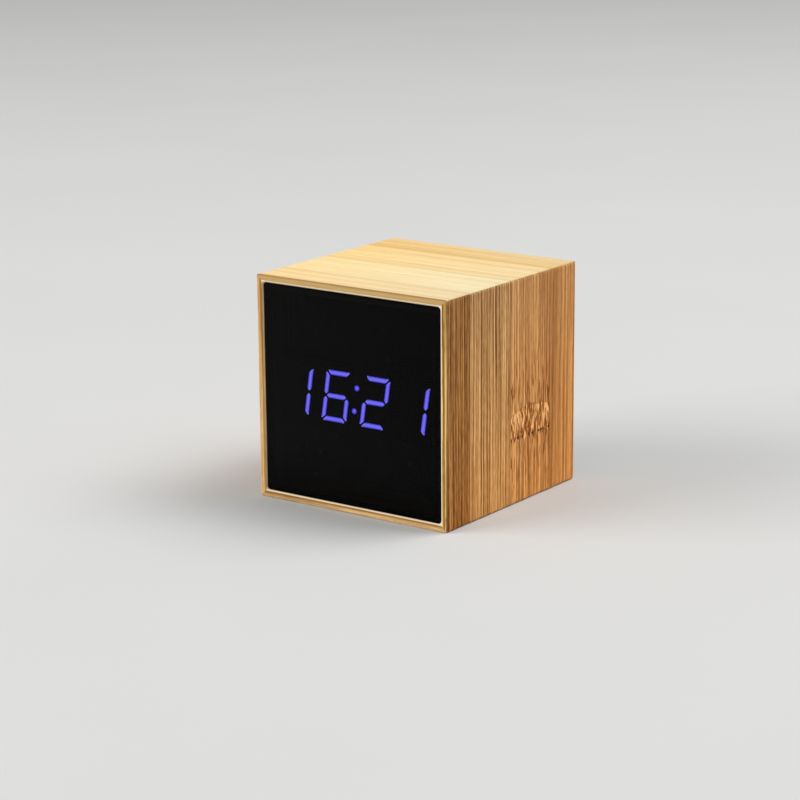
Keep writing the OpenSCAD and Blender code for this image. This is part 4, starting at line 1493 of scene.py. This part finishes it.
def paint(frame: Frame, finish: Finish, *nodes: str) -> None:
    """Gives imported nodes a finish.

    Args:
        finish: The finish.
        nodes: Names of the nodes.
    """
    material = finish.material()
    for name in nodes:
        piece = frame["nodes"][name]
        if not piece.material_slots:
            piece.data.materials.append(material)
        for slot in piece.material_slots:
            slot.material = material
        LOG.info("%s dressed in %s", name, material.name)


def settle(piece: Piece, body: str, slot: str, finish: Finish, *nodes: str) -> None:
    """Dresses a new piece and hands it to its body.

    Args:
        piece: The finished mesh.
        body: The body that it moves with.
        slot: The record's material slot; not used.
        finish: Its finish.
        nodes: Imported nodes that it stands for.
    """
    piece.data.materials.clear()
    piece.data.materials.append(finish.material())
    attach(piece, body)
    if nodes:
        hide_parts(*nodes)
    LOG.info("%s modelled, %d faces", piece.name, len(piece.data.polygons))


def middle_of(node: str) -> Vector:
    """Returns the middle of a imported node's box."""
    low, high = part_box(node)
    return (low + high) / 2


NICKEL = PlatedMetal("plated_metal", (0.70, 0.68, 0.64), (0.55, 0.51, 0.44))
STEEL = PlatedMetal("screw_steel", (0.50, 0.50, 0.50), (0.36, 0.35, 0.33), 0.32)
TIN = PlatedMetal("pin_tin", (0.62, 0.61, 0.59), (0.5, 0.48, 0.45), 0.3)
GOLD = PlatedMetal("contact_gold", (0.85, 0.62, 0.26), (0.62, 0.42, 0.18), 0.2)
COVER = MouldedResin("cover_plastic", (0.020, 0.020, 0.021), 0.52)


@dataclass
class Case:
    """The ring of four boards and its four corner posts."""

    edge: float = CUBE_MM
    quarter_turn: float = math.pi / 2
    # Painted light: the top board's strips are a paler, lit copy of the bamboo, partly its own paler tone.
    pale: Strips = (
        ((0.85, 0.64, 0.33), (0.86, 0.64, 0.33)),
        ((0.88, 0.70, 0.38), (0.88, 0.70, 0.37)),
        ((0.88, 0.63, 0.29), (0.88, 0.63, 0.29)),
        ((0.77, 0.49, 0.16), (0.80, 0.57, 0.27)),
    )
    # Painted shade: the right board's strips are a deeper, shaded copy of the same bamboo, partly its own
    # darker tone.
    warm: Strips = (
        ((0.445, 0.190, 0.045), (0.370, 0.142, 0.023)),
        ((0.59, 0.280, 0.084), (0.71, 0.352, 0.110)),
        ((0.76, 0.347, 0.102), (0.75, 0.329, 0.091)),
        ((0.67, 0.286, 0.073), (0.71, 0.294, 0.072)),
    )
    plain: Strips = (
        ((0.52, 0.240, 0.075), (0.56, 0.265, 0.085)),
        ((0.60, 0.290, 0.098), (0.57, 0.270, 0.088)),
        ((0.50, 0.222, 0.068), (0.53, 0.240, 0.076)),
        ((0.58, 0.275, 0.090), (0.55, 0.252, 0.080)),
    )

    def lay(self, board: Board) -> Lay:
        """Works out how a board's grain lies.

        Args:
            board: Which of the four.

        Returns:
            The way from Object coordinates to the board's own.
        """
        half = self.edge / 2
        unit = 1.0 / MM
        return {
            Board.TOP: Lay((half, half, self.edge), 0.0, (unit, unit, -unit)),
            Board.BOTTOM: Lay((half, half, 0.0), 0.0, (unit, unit, unit)),
            Board.RIGHT: Lay((0.0, half, half), self.quarter_turn, (unit, unit, unit)),
            Board.LEFT: Lay((self.edge, half, half), -self.quarter_turn, (unit, unit, unit)),
        }[board]

    def finishes(self) -> dict[Board, Bamboo]:
        """Chooses each board's strips and edges, with the painted light on them.

        Returns:
            The finish of each board.
        """
        # Each board's bevel and outer-edge strengths set its painted highlights, by how the light falls on
        # it.
        return {
            Board.TOP: Bamboo(
                "bamboo_top", self.lay(Board.TOP), self.pale, seed=3.0, contrast=0.22, seam=0.65,
                edge_wear_and_highlight=0.0, bevel_from=1.55, line_at=0.2, rim=(0.51, 0.32, 0.110),
                warm_end=(1.03, 0.96, 0.78), end_tint_and_shade=(0.95, 0.99, 1.06),
            ),
            Board.BOTTOM: Bamboo(
                "bamboo_bottom", self.lay(Board.BOTTOM), self.plain, seed=11.0, contrast=0.8,
                lively=(0.9, 1.0, 0.85, 0.9), edge_wear_and_highlight=0.6, bevel=1.0, bevel_from=1.75, line_at=1.52,
            ),
            Board.LEFT: Bamboo(
                "bamboo_left", self.lay(Board.LEFT), self.plain, seed=23.0, contrast=0.9,
                knuckle_at=38.0, knuckle_strip=0.0, knuckle_depth=0.8,
                lively=(0.9, 1.0, 0.8, 0.85), sheen=0.14, bevel=0.3, bevel_from=1.8, line_at=1.5,
            ),
            # Painted shade: the right board's end tint darkens it towards its top.
            Board.RIGHT: Bamboo(
                "bamboo_right", self.lay(Board.RIGHT), self.warm, seed=5.0,
                knuckle_at=22.0, knuckle_strip=1.0, knuckle_depth=1.0,
                lively=(1.7, 1.25, 0.9, 0.75), sheen=0.10, edge_wear_and_highlight=0.15, bevel_from=1.48, line_at=1.05,
                end_tint_and_shade=(0.77, 0.82, 0.94), rim=(0.50, 0.265, 0.062),
            ),
        }

    def dress(self, frame: Frame) -> None:
        """Dresses the boards and posts.
        """
        for board, finish in self.finishes().items():
            paint(frame, finish, board.value)
        posts = (f"{level}_{side}_post" for level in ("upper", "lower") for side in ("left", "right"))
        paint(frame, PlainWood(), *posts)


@dataclass
class Display:
    """The smoked panel with the numerals behind it."""

    lit: CastLens = CastLens(
        "lit_led", (0.03, 0.03, 0.05), (0.215, 0.19, 0.94), (0.05, 0.04, 0.62), 17.0
    )
    unlit: CastLens = CastLens("unlit_led", (0.020, 0.020, 0.024))
    housing: MouldedResin = MouldedResin("display_black", (0.008, 0.008, 0.009), 0.7, dust=0.0)

    def dress(self, frame: Frame) -> None:
        """Dresses the panel, its tape and the display.
        """
        paint(frame, SmokedAcrylic(), "front_panel")
        paint(frame, FoamTape(), "panel_tape")
        paint(frame, self.housing, "display_housing")
        paint(frame, self.lit, "lit_segments", "colon_dots")
        paint(frame, self.unlit, "unlit_segments")
        paint(frame, TIN, "display_pins")


@dataclass
class Electronics:
    """The two circuit boards and what is soldered to them."""

    chip_half: float = 3.75 * MM
    chip_resin: Colour = (0.012, 0.012, 0.013)
    resistor_half: float = 0.7 * MM
    resistor_glaze: Colour = (0.014, 0.014, 0.016)
    sleeve_lip: float = 0.25 * MM
    sleeve: Colour = (0.020, 0.022, 0.040)
    felt_t: float = 0.02 * MM
    can: Colour = (0.05, 0.05, 0.05)
    tin: Colour = (0.62, 0.61, 0.58)
    buzzer: MouldedResin = MouldedResin("buzzer_black", (0.014, 0.014, 0.015), 0.45)

    def dress(self, frame: Frame) -> None:
        """Dresses the boards and their components.
        """
        paint(frame, CircuitLaminate(), "main_board", "key_board")
        paint(frame, STEEL, "board_screws", "key_board_screws", "cover_screws")
        paint(frame, NICKEL, "crystal")
        paint(frame, self.buzzer, "buzzer")
        for node, reach, body in (
            ("clock_chip", self.chip_half, self.chip_resin),
            ("resistors", self.resistor_half, self.resistor_glaze),
        ):
            paint(frame, BandedPart(node, body, self.tin, 2, middle_of(node).z, reach), node)
        for node, name, lip, body in (
            ("filter_capacitor", "capacitor_sleeve", self.sleeve_lip, self.sleeve),
            ("microphone", "microphone_can", self.felt_t, self.can),
        ):
            low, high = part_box(node)
            paint(frame, BandedPart(name, body, self.tin, 1, low.y, high.y - low.y - lip), node)


@dataclass
class KeyRow:
    """Three keys with their switches, and the power inlet beside them."""

    keys: tuple[str, ...] = ("set", "up", "down")
    key_black: Colour = (0.030, 0.030, 0.032)
    switch: MouldedResin = MouldedResin("switch_plastic", (0.025, 0.025, 0.027), 0.42, 9000.0)
    plunger: MouldedResin = MouldedResin("plunger_plastic", (0.06, 0.055, 0.05), 0.4, 9000.0)
    contact_count: int = 5
    contact_pitch: float = 0.65 * MM
    contact_w: float = 0.36 * MM
    contact_t: float = 0.08 * MM
    contact_l: float = 3.2 * MM
    contact_round: float = 0.025 * MM
    contact_inset: float = 0.2 * MM
    tip_inset: float = 0.016 * MM
    tip_l: float = 0.12 * MM
    tip_rise: float = 0.02 * MM
    tongue_half_t: float = 0.3 * MM

    def dress(self, frame: Frame) -> None:
        """Dresses keys, switches and inlet.
        """
        for key in self.keys:
            node = f"{key}_key"
            middle = middle_of(node)
            finish = MarkedKey(
                f"key_{key}", self.key_black, 0.38, 9000.0, 0.01, 0.4,
                axis=(middle.x, middle.z), top=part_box(node)[1].y,
            )
            paint(frame, finish, node)
        paint(frame, self.switch, *(f"{key}_switch" for key in self.keys), "inlet_tongue")
        paint(frame, self.plunger, *(f"{key}_plunger" for key in self.keys))
        paint(frame, NICKEL, "inlet_shell")

    def build(self) -> None:
        """Models the inlet's contacts: one rounded finger on the tongue, and its copies beside it."""
        tip = middle_of("inlet_tongue")
        tip.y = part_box("inlet_tongue")[1].y
        aside = (self.contact_count - 1) / 2 * self.contact_pitch
        first = tip - Vector((aside, 0.0, self.tongue_half_t))
        fingers = [self.finger(first)]
        for i in range(1, self.contact_count):
            shift = Vector((i * self.contact_pitch, 0.0, 0.0))
            fingers.append(Bench.copy(fingers[0], f"finger_{i}", 0.0, first, shift))
        Bench.only(*fingers)
        bpy.ops.object.join()
        settle(Bench.named("inlet_contacts"), "case", "plated_metal", GOLD)

    def finger(self, root: Vector) -> Piece:
        """Models one contact finger under the tongue, its tip bent up a little.

        Args:
            root: Middle of the tongue's front edge above the finger.

        Returns:
            The finger.
        """
        def runs_along(edge: bmesh.types.BMEdge) -> bool:
            """Tells whether an edge runs along the finger."""
            start, end = (v.co for v in edge.verts)
            return abs((start - end).normalized().y) > 0.9

        Bench.clear()
        middle = root - Vector((0.0, self.contact_l / 2 + self.contact_inset, self.contact_t / 2))
        bpy.ops.mesh.primitive_cube_add(size=1.0, location=middle)
        piece = bpy.context.object
        piece.scale = (self.contact_w, self.contact_l, self.contact_t)
        Bench.named("finger_0")
        bpy.ops.object.mode_set(mode="EDIT")
        Bench.pick(piece, lambda face: face.normal.y > 0.9)
        bpy.ops.mesh.inset(thickness=self.tip_inset)
        Bench.extrude(0.0, self.tip_l, self.tip_rise)
        Bench.pick_edges(piece, runs_along)
        bpy.ops.mesh.bevel(offset=self.contact_round, segments=2)
        bpy.ops.object.mode_set(mode="OBJECT")
        return piece


@dataclass
class BackCover:
    """The cover with its tray, the battery door and the contact plates."""

    plates: tuple[str, ...] = ("left_link", "right_link", "positive_terminal", "negative_terminal")

    def dress(self, frame: Frame) -> None:
        """Dresses cover, door and plates."""
        paint(frame, COVER, "back_cover", "battery_door")
        paint(frame, NICKEL, *self.plates)


@dataclass
class BatteryPack:
    """Three cells with their contact springs."""

    ways: tuple[Way, ...] = (Way.RIGHT, Way.LEFT, Way.RIGHT)
    nub_l: float = 1.0 * MM
    nub_r: float = 1.9 * MM
    nub_seat: float = 0.5 * MM
    nub_round: float = 0.3 * MM
    crimp_w: float = 0.75 * MM
    crimp_lip: float = 0.3 * MM
    crimp_depth: float = 0.25 * MM
    shoulder: float = 0.55 * MM
    sides: int = 72
    crease: float = 35.0
    slack: float = 0.01 * MM
    wire_r: float = 0.25 * MM
    wide_r: float = 3.5 * MM
    tip_r: float = 1.3 * MM
    lift: float = 0.3
    turns: float = 2.5
    steps: int = 36

    def build(self) -> None:
        """Models the cells and springs and sets them in their places."""
        home = middle_of("cell_1")
        cells = [self.cell("cell_1_sleeved", *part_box("cell_1"))]
        for i, way in enumerate(self.ways[1:], 2):
            turn = 0.0 if way is self.ways[0] else math.pi
            shift = middle_of(f"cell_{i}") - home
            cells.append(Bench.copy(cells[0], f"cell_{i}_sleeved", turn, home, shift))
        for i, (piece, way) in enumerate(zip(cells, self.ways), 1):
            self.dress_cell(piece, i, way)
        for i, way in enumerate(self.ways, 1):
            piece = self.spring(i, way)
            Bench.smooth(piece, Bench.tube_crease)
            settle(piece, "case", "plated_metal", NICKEL, f"spring_{i}")

    def cell(self, name: str, low: Vector, high: Vector) -> Piece:
        """Models a cell whose nub points to +X.

        Args:
            name: The piece's name.
            low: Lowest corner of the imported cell.
            high: Its highest corner.

        Returns:
            The cell: a can with crimped sleeve ends, a seat, a nub and a dished base.
        """
        Bench.clear()
        radius = (high.z - low.z) / 2
        can = high.x - low.x - self.nub_l
        centre = (low + high) / 2
        centre.x = low.x + can / 2
        lying = (0.0, math.pi / 2, 0.0)
        bpy.ops.mesh.primitive_cylinder_add(
            vertices=self.sides, radius=radius, depth=can, location=centre, rotation=lying
        )
        piece = Bench.named(name)
        bpy.ops.object.mode_set(mode="EDIT")
        bpy.ops.mesh.select_mode(type="FACE")
        for way in Way:
            Bench.pick(piece, lambda face: face.normal.x * way.value > 0.9)
            bpy.ops.mesh.inset(thickness=self.crimp_w)
            Bench.extrude(-way.value * self.crimp_depth, 0.0, 0.0)
            bpy.ops.mesh.inset(thickness=self.crimp_lip)
            if way is Way.RIGHT:
                seat = self.nub_r + self.nub_seat
                bpy.ops.mesh.inset(thickness=radius - self.crimp_w - self.crimp_lip - seat)
                Bench.extrude(self.crimp_depth, 0.0, 0.0)
                bpy.ops.mesh.inset(thickness=self.nub_seat)
                Bench.extrude(self.nub_l, 0.0, 0.0)
            else:
                Bench.extrude(-self.crimp_depth, 0.0, 0.0)
        Bench.pick_edges(piece, lambda edge: self.on_shoulder(edge, centre, radius, can))
        bpy.ops.mesh.bevel(offset=self.shoulder, segments=4)
        Bench.pick_edges(piece, lambda edge: all(v.co.x > high.x - self.slack for v in edge.verts))
        bpy.ops.mesh.bevel(offset=self.nub_round, segments=3)
        bpy.ops.object.mode_set(mode="OBJECT")
        Bench.smooth(piece, self.crease)
        return piece

    def on_shoulder(self, edge: bmesh.types.BMEdge, centre: Vector, radius: float, can: float) -> bool:
        """Tells whether an edge lies on the outer rim of one of the can's ends.

        Args:
            edge: The edge.
            centre: Middle of the can.
            radius: Its radius.
            can: Its length.

        Returns:
            Whether both ends of the edge lie there.
        """
        offsets = [v.co - centre for v in edge.verts]
        outside = all(math.hypot(off.y, off.z) > radius - 2 * self.slack for off in offsets)
        return outside and all(abs(abs(off.x) - can / 2) < self.slack for off in offsets)

    def dress_cell(self, piece: Piece, i: int, way: Way) -> None:
        """Gives a cell its sleeve and hands it to the case.

        Args:
            piece: The modelled cell.
            i: Its number, from the lowest.
            way: Where its nub points.
        """
        low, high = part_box(f"cell_{i}")
        can = high.x - low.x - self.nub_l
        centre = (low + high) / 2
        centre.x = (low.x if way is Way.RIGHT else low.x + self.nub_l) + can / 2
        finish = CellSleeve(f"cell_wrap_{i}", centre, way, (high.z - low.z) / 2, can)
        settle(piece, "case", "cell_wrap", finish, f"cell_{i}")

    def spring(self, i: int, way: Way) -> Piece:
        """Winds a contact spring from its plate towards the cell's base.

        Args:
            i: Number of the cell that it presses.
            way: Where that cell's nub points, which the spring's axis follows.

        Returns:
            The spring: one flat turn on the plate, then turns that draw in.
        """
        low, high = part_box(f"spring_{i}")
        root = middle_of(f"cell_{i}")
        root.x = low.x if way is Way.RIGHT else high.x
        rise = high.x - low.x - (2.0 + self.lift) * self.wire_r
        route = []
        flat = self.steps
        total = flat + round(self.turns * self.steps)
        for k in range(total + 1):
            angle = math.tau * k / self.steps
            share = max(0.0, (k - flat) / (total - flat))
            radius = self.wide_r + (self.tip_r - self.wide_r) * share
            height = self.wire_r + min(1.0, k / flat) * self.lift * self.wire_r + rise * share
            turned = (radius * math.cos(angle), radius * math.sin(angle))
            route.append(root + Vector((way.value * height, *turned)))
        return Bench.tube(f"spring_{i}_wound", route, self.wire_r)


@dataclass
class Cables:
    """The two battery leads and the ribbon between the boards."""

    red: WireSleeve = WireSleeve("red_wire", (0.36, 0.020, 0.016), (0.46, 0.10, 0.09))
    black: WireSleeve = WireSleeve("black_wire", (0.012, 0.012, 0.013), (0.06, 0.06, 0.06))
    lead_d: float = 1.3 * MM
    lead_shares: tuple[float, ...] = (0.1, 0.42, 0.77, 0.95)
    lead_steps: int = 10
    feet: dict[str, Span] = field(
        default_factory=lambda: {"positive": (22.0 * MM, -7.0 * MM), "negative": (-22.0 * MM, 5.0 * MM)}
    )
    middle: float = CUBE_MM / 2 * MM
    ribbon_points: tuple[Span, ...] = (
        (0.0, 0.0), (0.12, 0.2), (0.28, 0.7), (0.54, 1.0), (0.75, 0.75), (0.9, 0.2), (1.0, 0.0)
    )
    ribbon_steps: int = 8
    ribbon_sag: float = 2.5 * MM
    ribbon_t: float = 0.9 * MM
    valley: float = 0.45
    cores: int = 6
    core_steps: int = 8

    def build(self) -> None:
        """Models leads and ribbon along the routes of their solids."""
        for name, finish in (("positive", self.red), ("negative", self.black)):
            piece = Bench.tube(f"{name}_lead_wire", self.lead_route(name), self.lead_d / 2)
            Bench.smooth(piece, Bench.tube_crease)
            settle(piece, "case", finish.name, finish, f"{name}_lead")
        self.build_ribbon()

    def lead_route(self, name: str) -> list[Vector]:
        """Works out a lead's route from its terminal's tail to the main board.

        Args:
            name: Which of the two terminals.

        Returns:
            The route's points.
        """
        tail = middle_of(f"{name}_terminal")
        tail.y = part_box(f"{name}_terminal")[0].y
        across, up = self.feet[name]
        foot = Vector((across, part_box("main_board")[1].y, self.middle + up))
        straight = Vector((0.0, 2 * self.lead_d, 0.0))
        start, end = tail - straight, foot + straight
        run = end - start
        points = [tail, start]
        for share in self.lead_shares:
            eased = share * share * (3 - 2 * share)
            points.append(start + Vector((run.x * eased, run.y * share, run.z * eased)))
        return smooth_route([*points, end, foot], self.lead_steps)

    def build_ribbon(self) -> None:
        """Models the flat cable as round cores side by side, swept along its sagging route."""
        low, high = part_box("ribbon_cable")
        width = high.x - low.x
        key_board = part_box("key_board")[0].y
        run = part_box("main_board")[1].y - key_board
        level = high.z - self.ribbon_t / 2
        middle = (low.x + high.x) / 2
        points = []
        for share, drop in self.ribbon_points:
            points.append(Vector((middle, key_board + run * share, level - self.ribbon_sag * drop)))
        profile = Bench.line("ribbon_section", self.ribbon_outline(width), closed=True)
        piece = Bench.tube("ribbon_cores", smooth_route(points, self.ribbon_steps), 0.0, profile)
        bpy.data.objects.remove(profile)
        Bench.smooth(piece, Bench.tube_crease)
        finish = RibbonSleeve("ribbon_grey", low.x, width / self.cores)
        settle(piece, "case", "ribbon_grey", finish, "ribbon_cable")

    def ribbon_outline(self, width: float) -> list[Triple]:
        """Works out the ribbon's section, which bulges at every core.

        Args:
            width: Width of the ribbon.

        Returns:
            The points of the closed outline.
        """
        pitch = width / self.cores
        upper = []
        for core in range(self.cores):
            for k in range(self.core_steps):
                angle = math.pi * (1 - (k + 0.5) / self.core_steps)
                x = -width / 2 + (core + 0.5) * pitch + pitch / 2 * math.cos(angle)
                bulge = self.valley + (1 - self.valley) * math.sin(angle)
                upper.append((x, self.ribbon_t / 2 * bulge, 0.0))
        return upper + [(x, -y, z) for x, y, z in reversed(upper)]


def towards(azimuth: float, elevation: float) -> Vector:
    """Returns the way from the clock to a place, by degrees from the front to +X and degrees up."""
    a, e = math.radians(azimuth), math.radians(elevation)
    return Vector((math.sin(a) * math.cos(e), -math.cos(a) * math.cos(e), math.sin(e)))


@dataclass(frozen=True)
class Viewpoint:
    """The photograph's camera, solved from the corners of the cube."""

    azimuth: float = 35.87
    elevation: float = 14.44
    roll: float = -0.45
    distance: float = 0.6946
    aim: Triple = (-0.00619, 0.0, 0.02395)
    focal_px: float = 2518.8
    frame_px: float = 800.0
    sensor_mm: float = 36.0
    clip: Span = (0.01, 50.0)

    def build(self) -> None:
        """Makes the scene's camera."""
        back = towards(self.azimuth, self.elevation)
        level = Vector((0.0, 0.0, 1.0)).cross(back).normalized()
        upright = back.cross(level)
        roll = math.radians(self.roll)
        right = level * math.cos(roll) + upright * math.sin(roll)
        up = upright * math.cos(roll) - level * math.sin(roll)
        data = bpy.data.cameras.new("photo_camera")
        data.sensor_width = self.sensor_mm
        data.lens = self.focal_px / self.frame_px * self.sensor_mm
        data.clip_start, data.clip_end = self.clip
        camera = bpy.data.objects.new("photo_camera", data)
        bpy.context.scene.collection.objects.link(camera)
        turn = Matrix((right, up, back)).transposed().to_4x4()
        camera.matrix_world = Matrix.Translation(Vector(self.aim) + back * self.distance) @ turn
        bpy.context.scene.camera = camera


@dataclass(frozen=True)
class SoftBox:
    """A square studio lamp aimed at the clock."""

    name: str
    azimuth: float
    elevation: float
    distance: float
    size: float
    watts: float
    aim: Triple = (0.0, 0.0, 0.03)

    def build(self) -> None:
        """Hangs the lamp."""
        back = towards(self.azimuth, self.elevation)
        data = bpy.data.lights.new(self.name, "AREA")
        data.shape = "SQUARE"
        data.size = self.size
        data.energy = self.watts
        lamp = bpy.data.objects.new(self.name, data)
        lamp.location = Vector(self.aim) + back * self.distance
        lamp.rotation_mode = "QUATERNION"
        lamp.rotation_quaternion = back.to_track_quat("Z", "Y")
        bpy.context.scene.collection.objects.link(lamp)


@dataclass(frozen=True)
class Studio(Finish):
    """A plain pale floor, soft lamps and an even surround."""

    floor_half: float = 6.0
    floor_drop: float = 0.05 * MM
    floor: Colour = (0.66, 0.66, 0.65)
    floor_cloud: float = 9.0
    floor_spread: float = 0.03
    floor_rough: Span = (0.85, 0.95)
    floor_sheen: float = 0.2
    surround: Colour = (0.80, 0.80, 0.80)
    surround_light: float = 0.46
    lamps: tuple[SoftBox, ...] = (
        SoftBox("overhead", 130.0, 58.0, 2.0, 1.2, 26.0),
        SoftBox("front_fill", -40.0, 22.0, 2.0, 1.4, 30.0),
    )

    def build(self) -> None:
        """Builds floor, lamps, surround and colour handling."""
        bpy.context.scene.view_settings.view_transform = "Standard"
        self.build_floor()
        self.build_surround()
        for lamp in self.lamps:
            lamp.build()

    def build_floor(self) -> None:
        """Lays the floor just under the clock."""
        Bench.clear()
        bpy.ops.mesh.primitive_plane_add(size=2 * self.floor_half, location=(0.0, 0.0, -self.floor_drop))
        floor = Bench.named("floor")
        material, tree, shader, place = self.start("pale_floor")
        cloud = tree.noise(place, self.floor_cloud, 3.0)
        tree.feed_all(shader, {
            "Base Color": self.tinted(tree, rgba(self.floor), cloud, self.floor_spread),
            "Roughness": tree.scaled(cloud, *self.floor_rough),
            "Specular IOR Level": self.floor_sheen,
        })
        floor.data.materials.append(material)

    def build_surround(self) -> None:
        """Sets the world: an even light, and a pale tone for what looks at it or mirrors it."""
        world = bpy.data.worlds.new("surround")
        world.use_nodes = True
        world.node_tree.nodes.clear()
        bpy.context.scene.world = world
        tree = Tree(world.node_tree)
        path = tree.add("LightPath").outputs
        seen = tree.largest(*(path[f"Is {kind} Ray"] for kind in ("Camera", "Glossy", "Transmission")))
        light = tree.fed("Background", {"Strength": self.surround_light})
        backdrop = tree.fed("Background", {"Color": rgba(self.surround)})
        tree.fed("OutputWorld", {"Surface": tree.choose(seen, light, backdrop)})


def main() -> None:
    """Loads the frame, builds and dresses each sub-assembly, and sets the studio."""
    logging.basicConfig(level=logging.INFO, format="%(name)s: %(message)s")
    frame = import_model()
    Viewpoint().build()
    Studio().build()
    row = KeyRow()
    for dressed in (Case(), Display(), Electronics(), BackCover(), row):
        dressed.dress(frame)
    for modelled in (row, BatteryPack(), Cables()):
        modelled.build()
    Bench.clear()


if __name__ == "__main__":
    main()
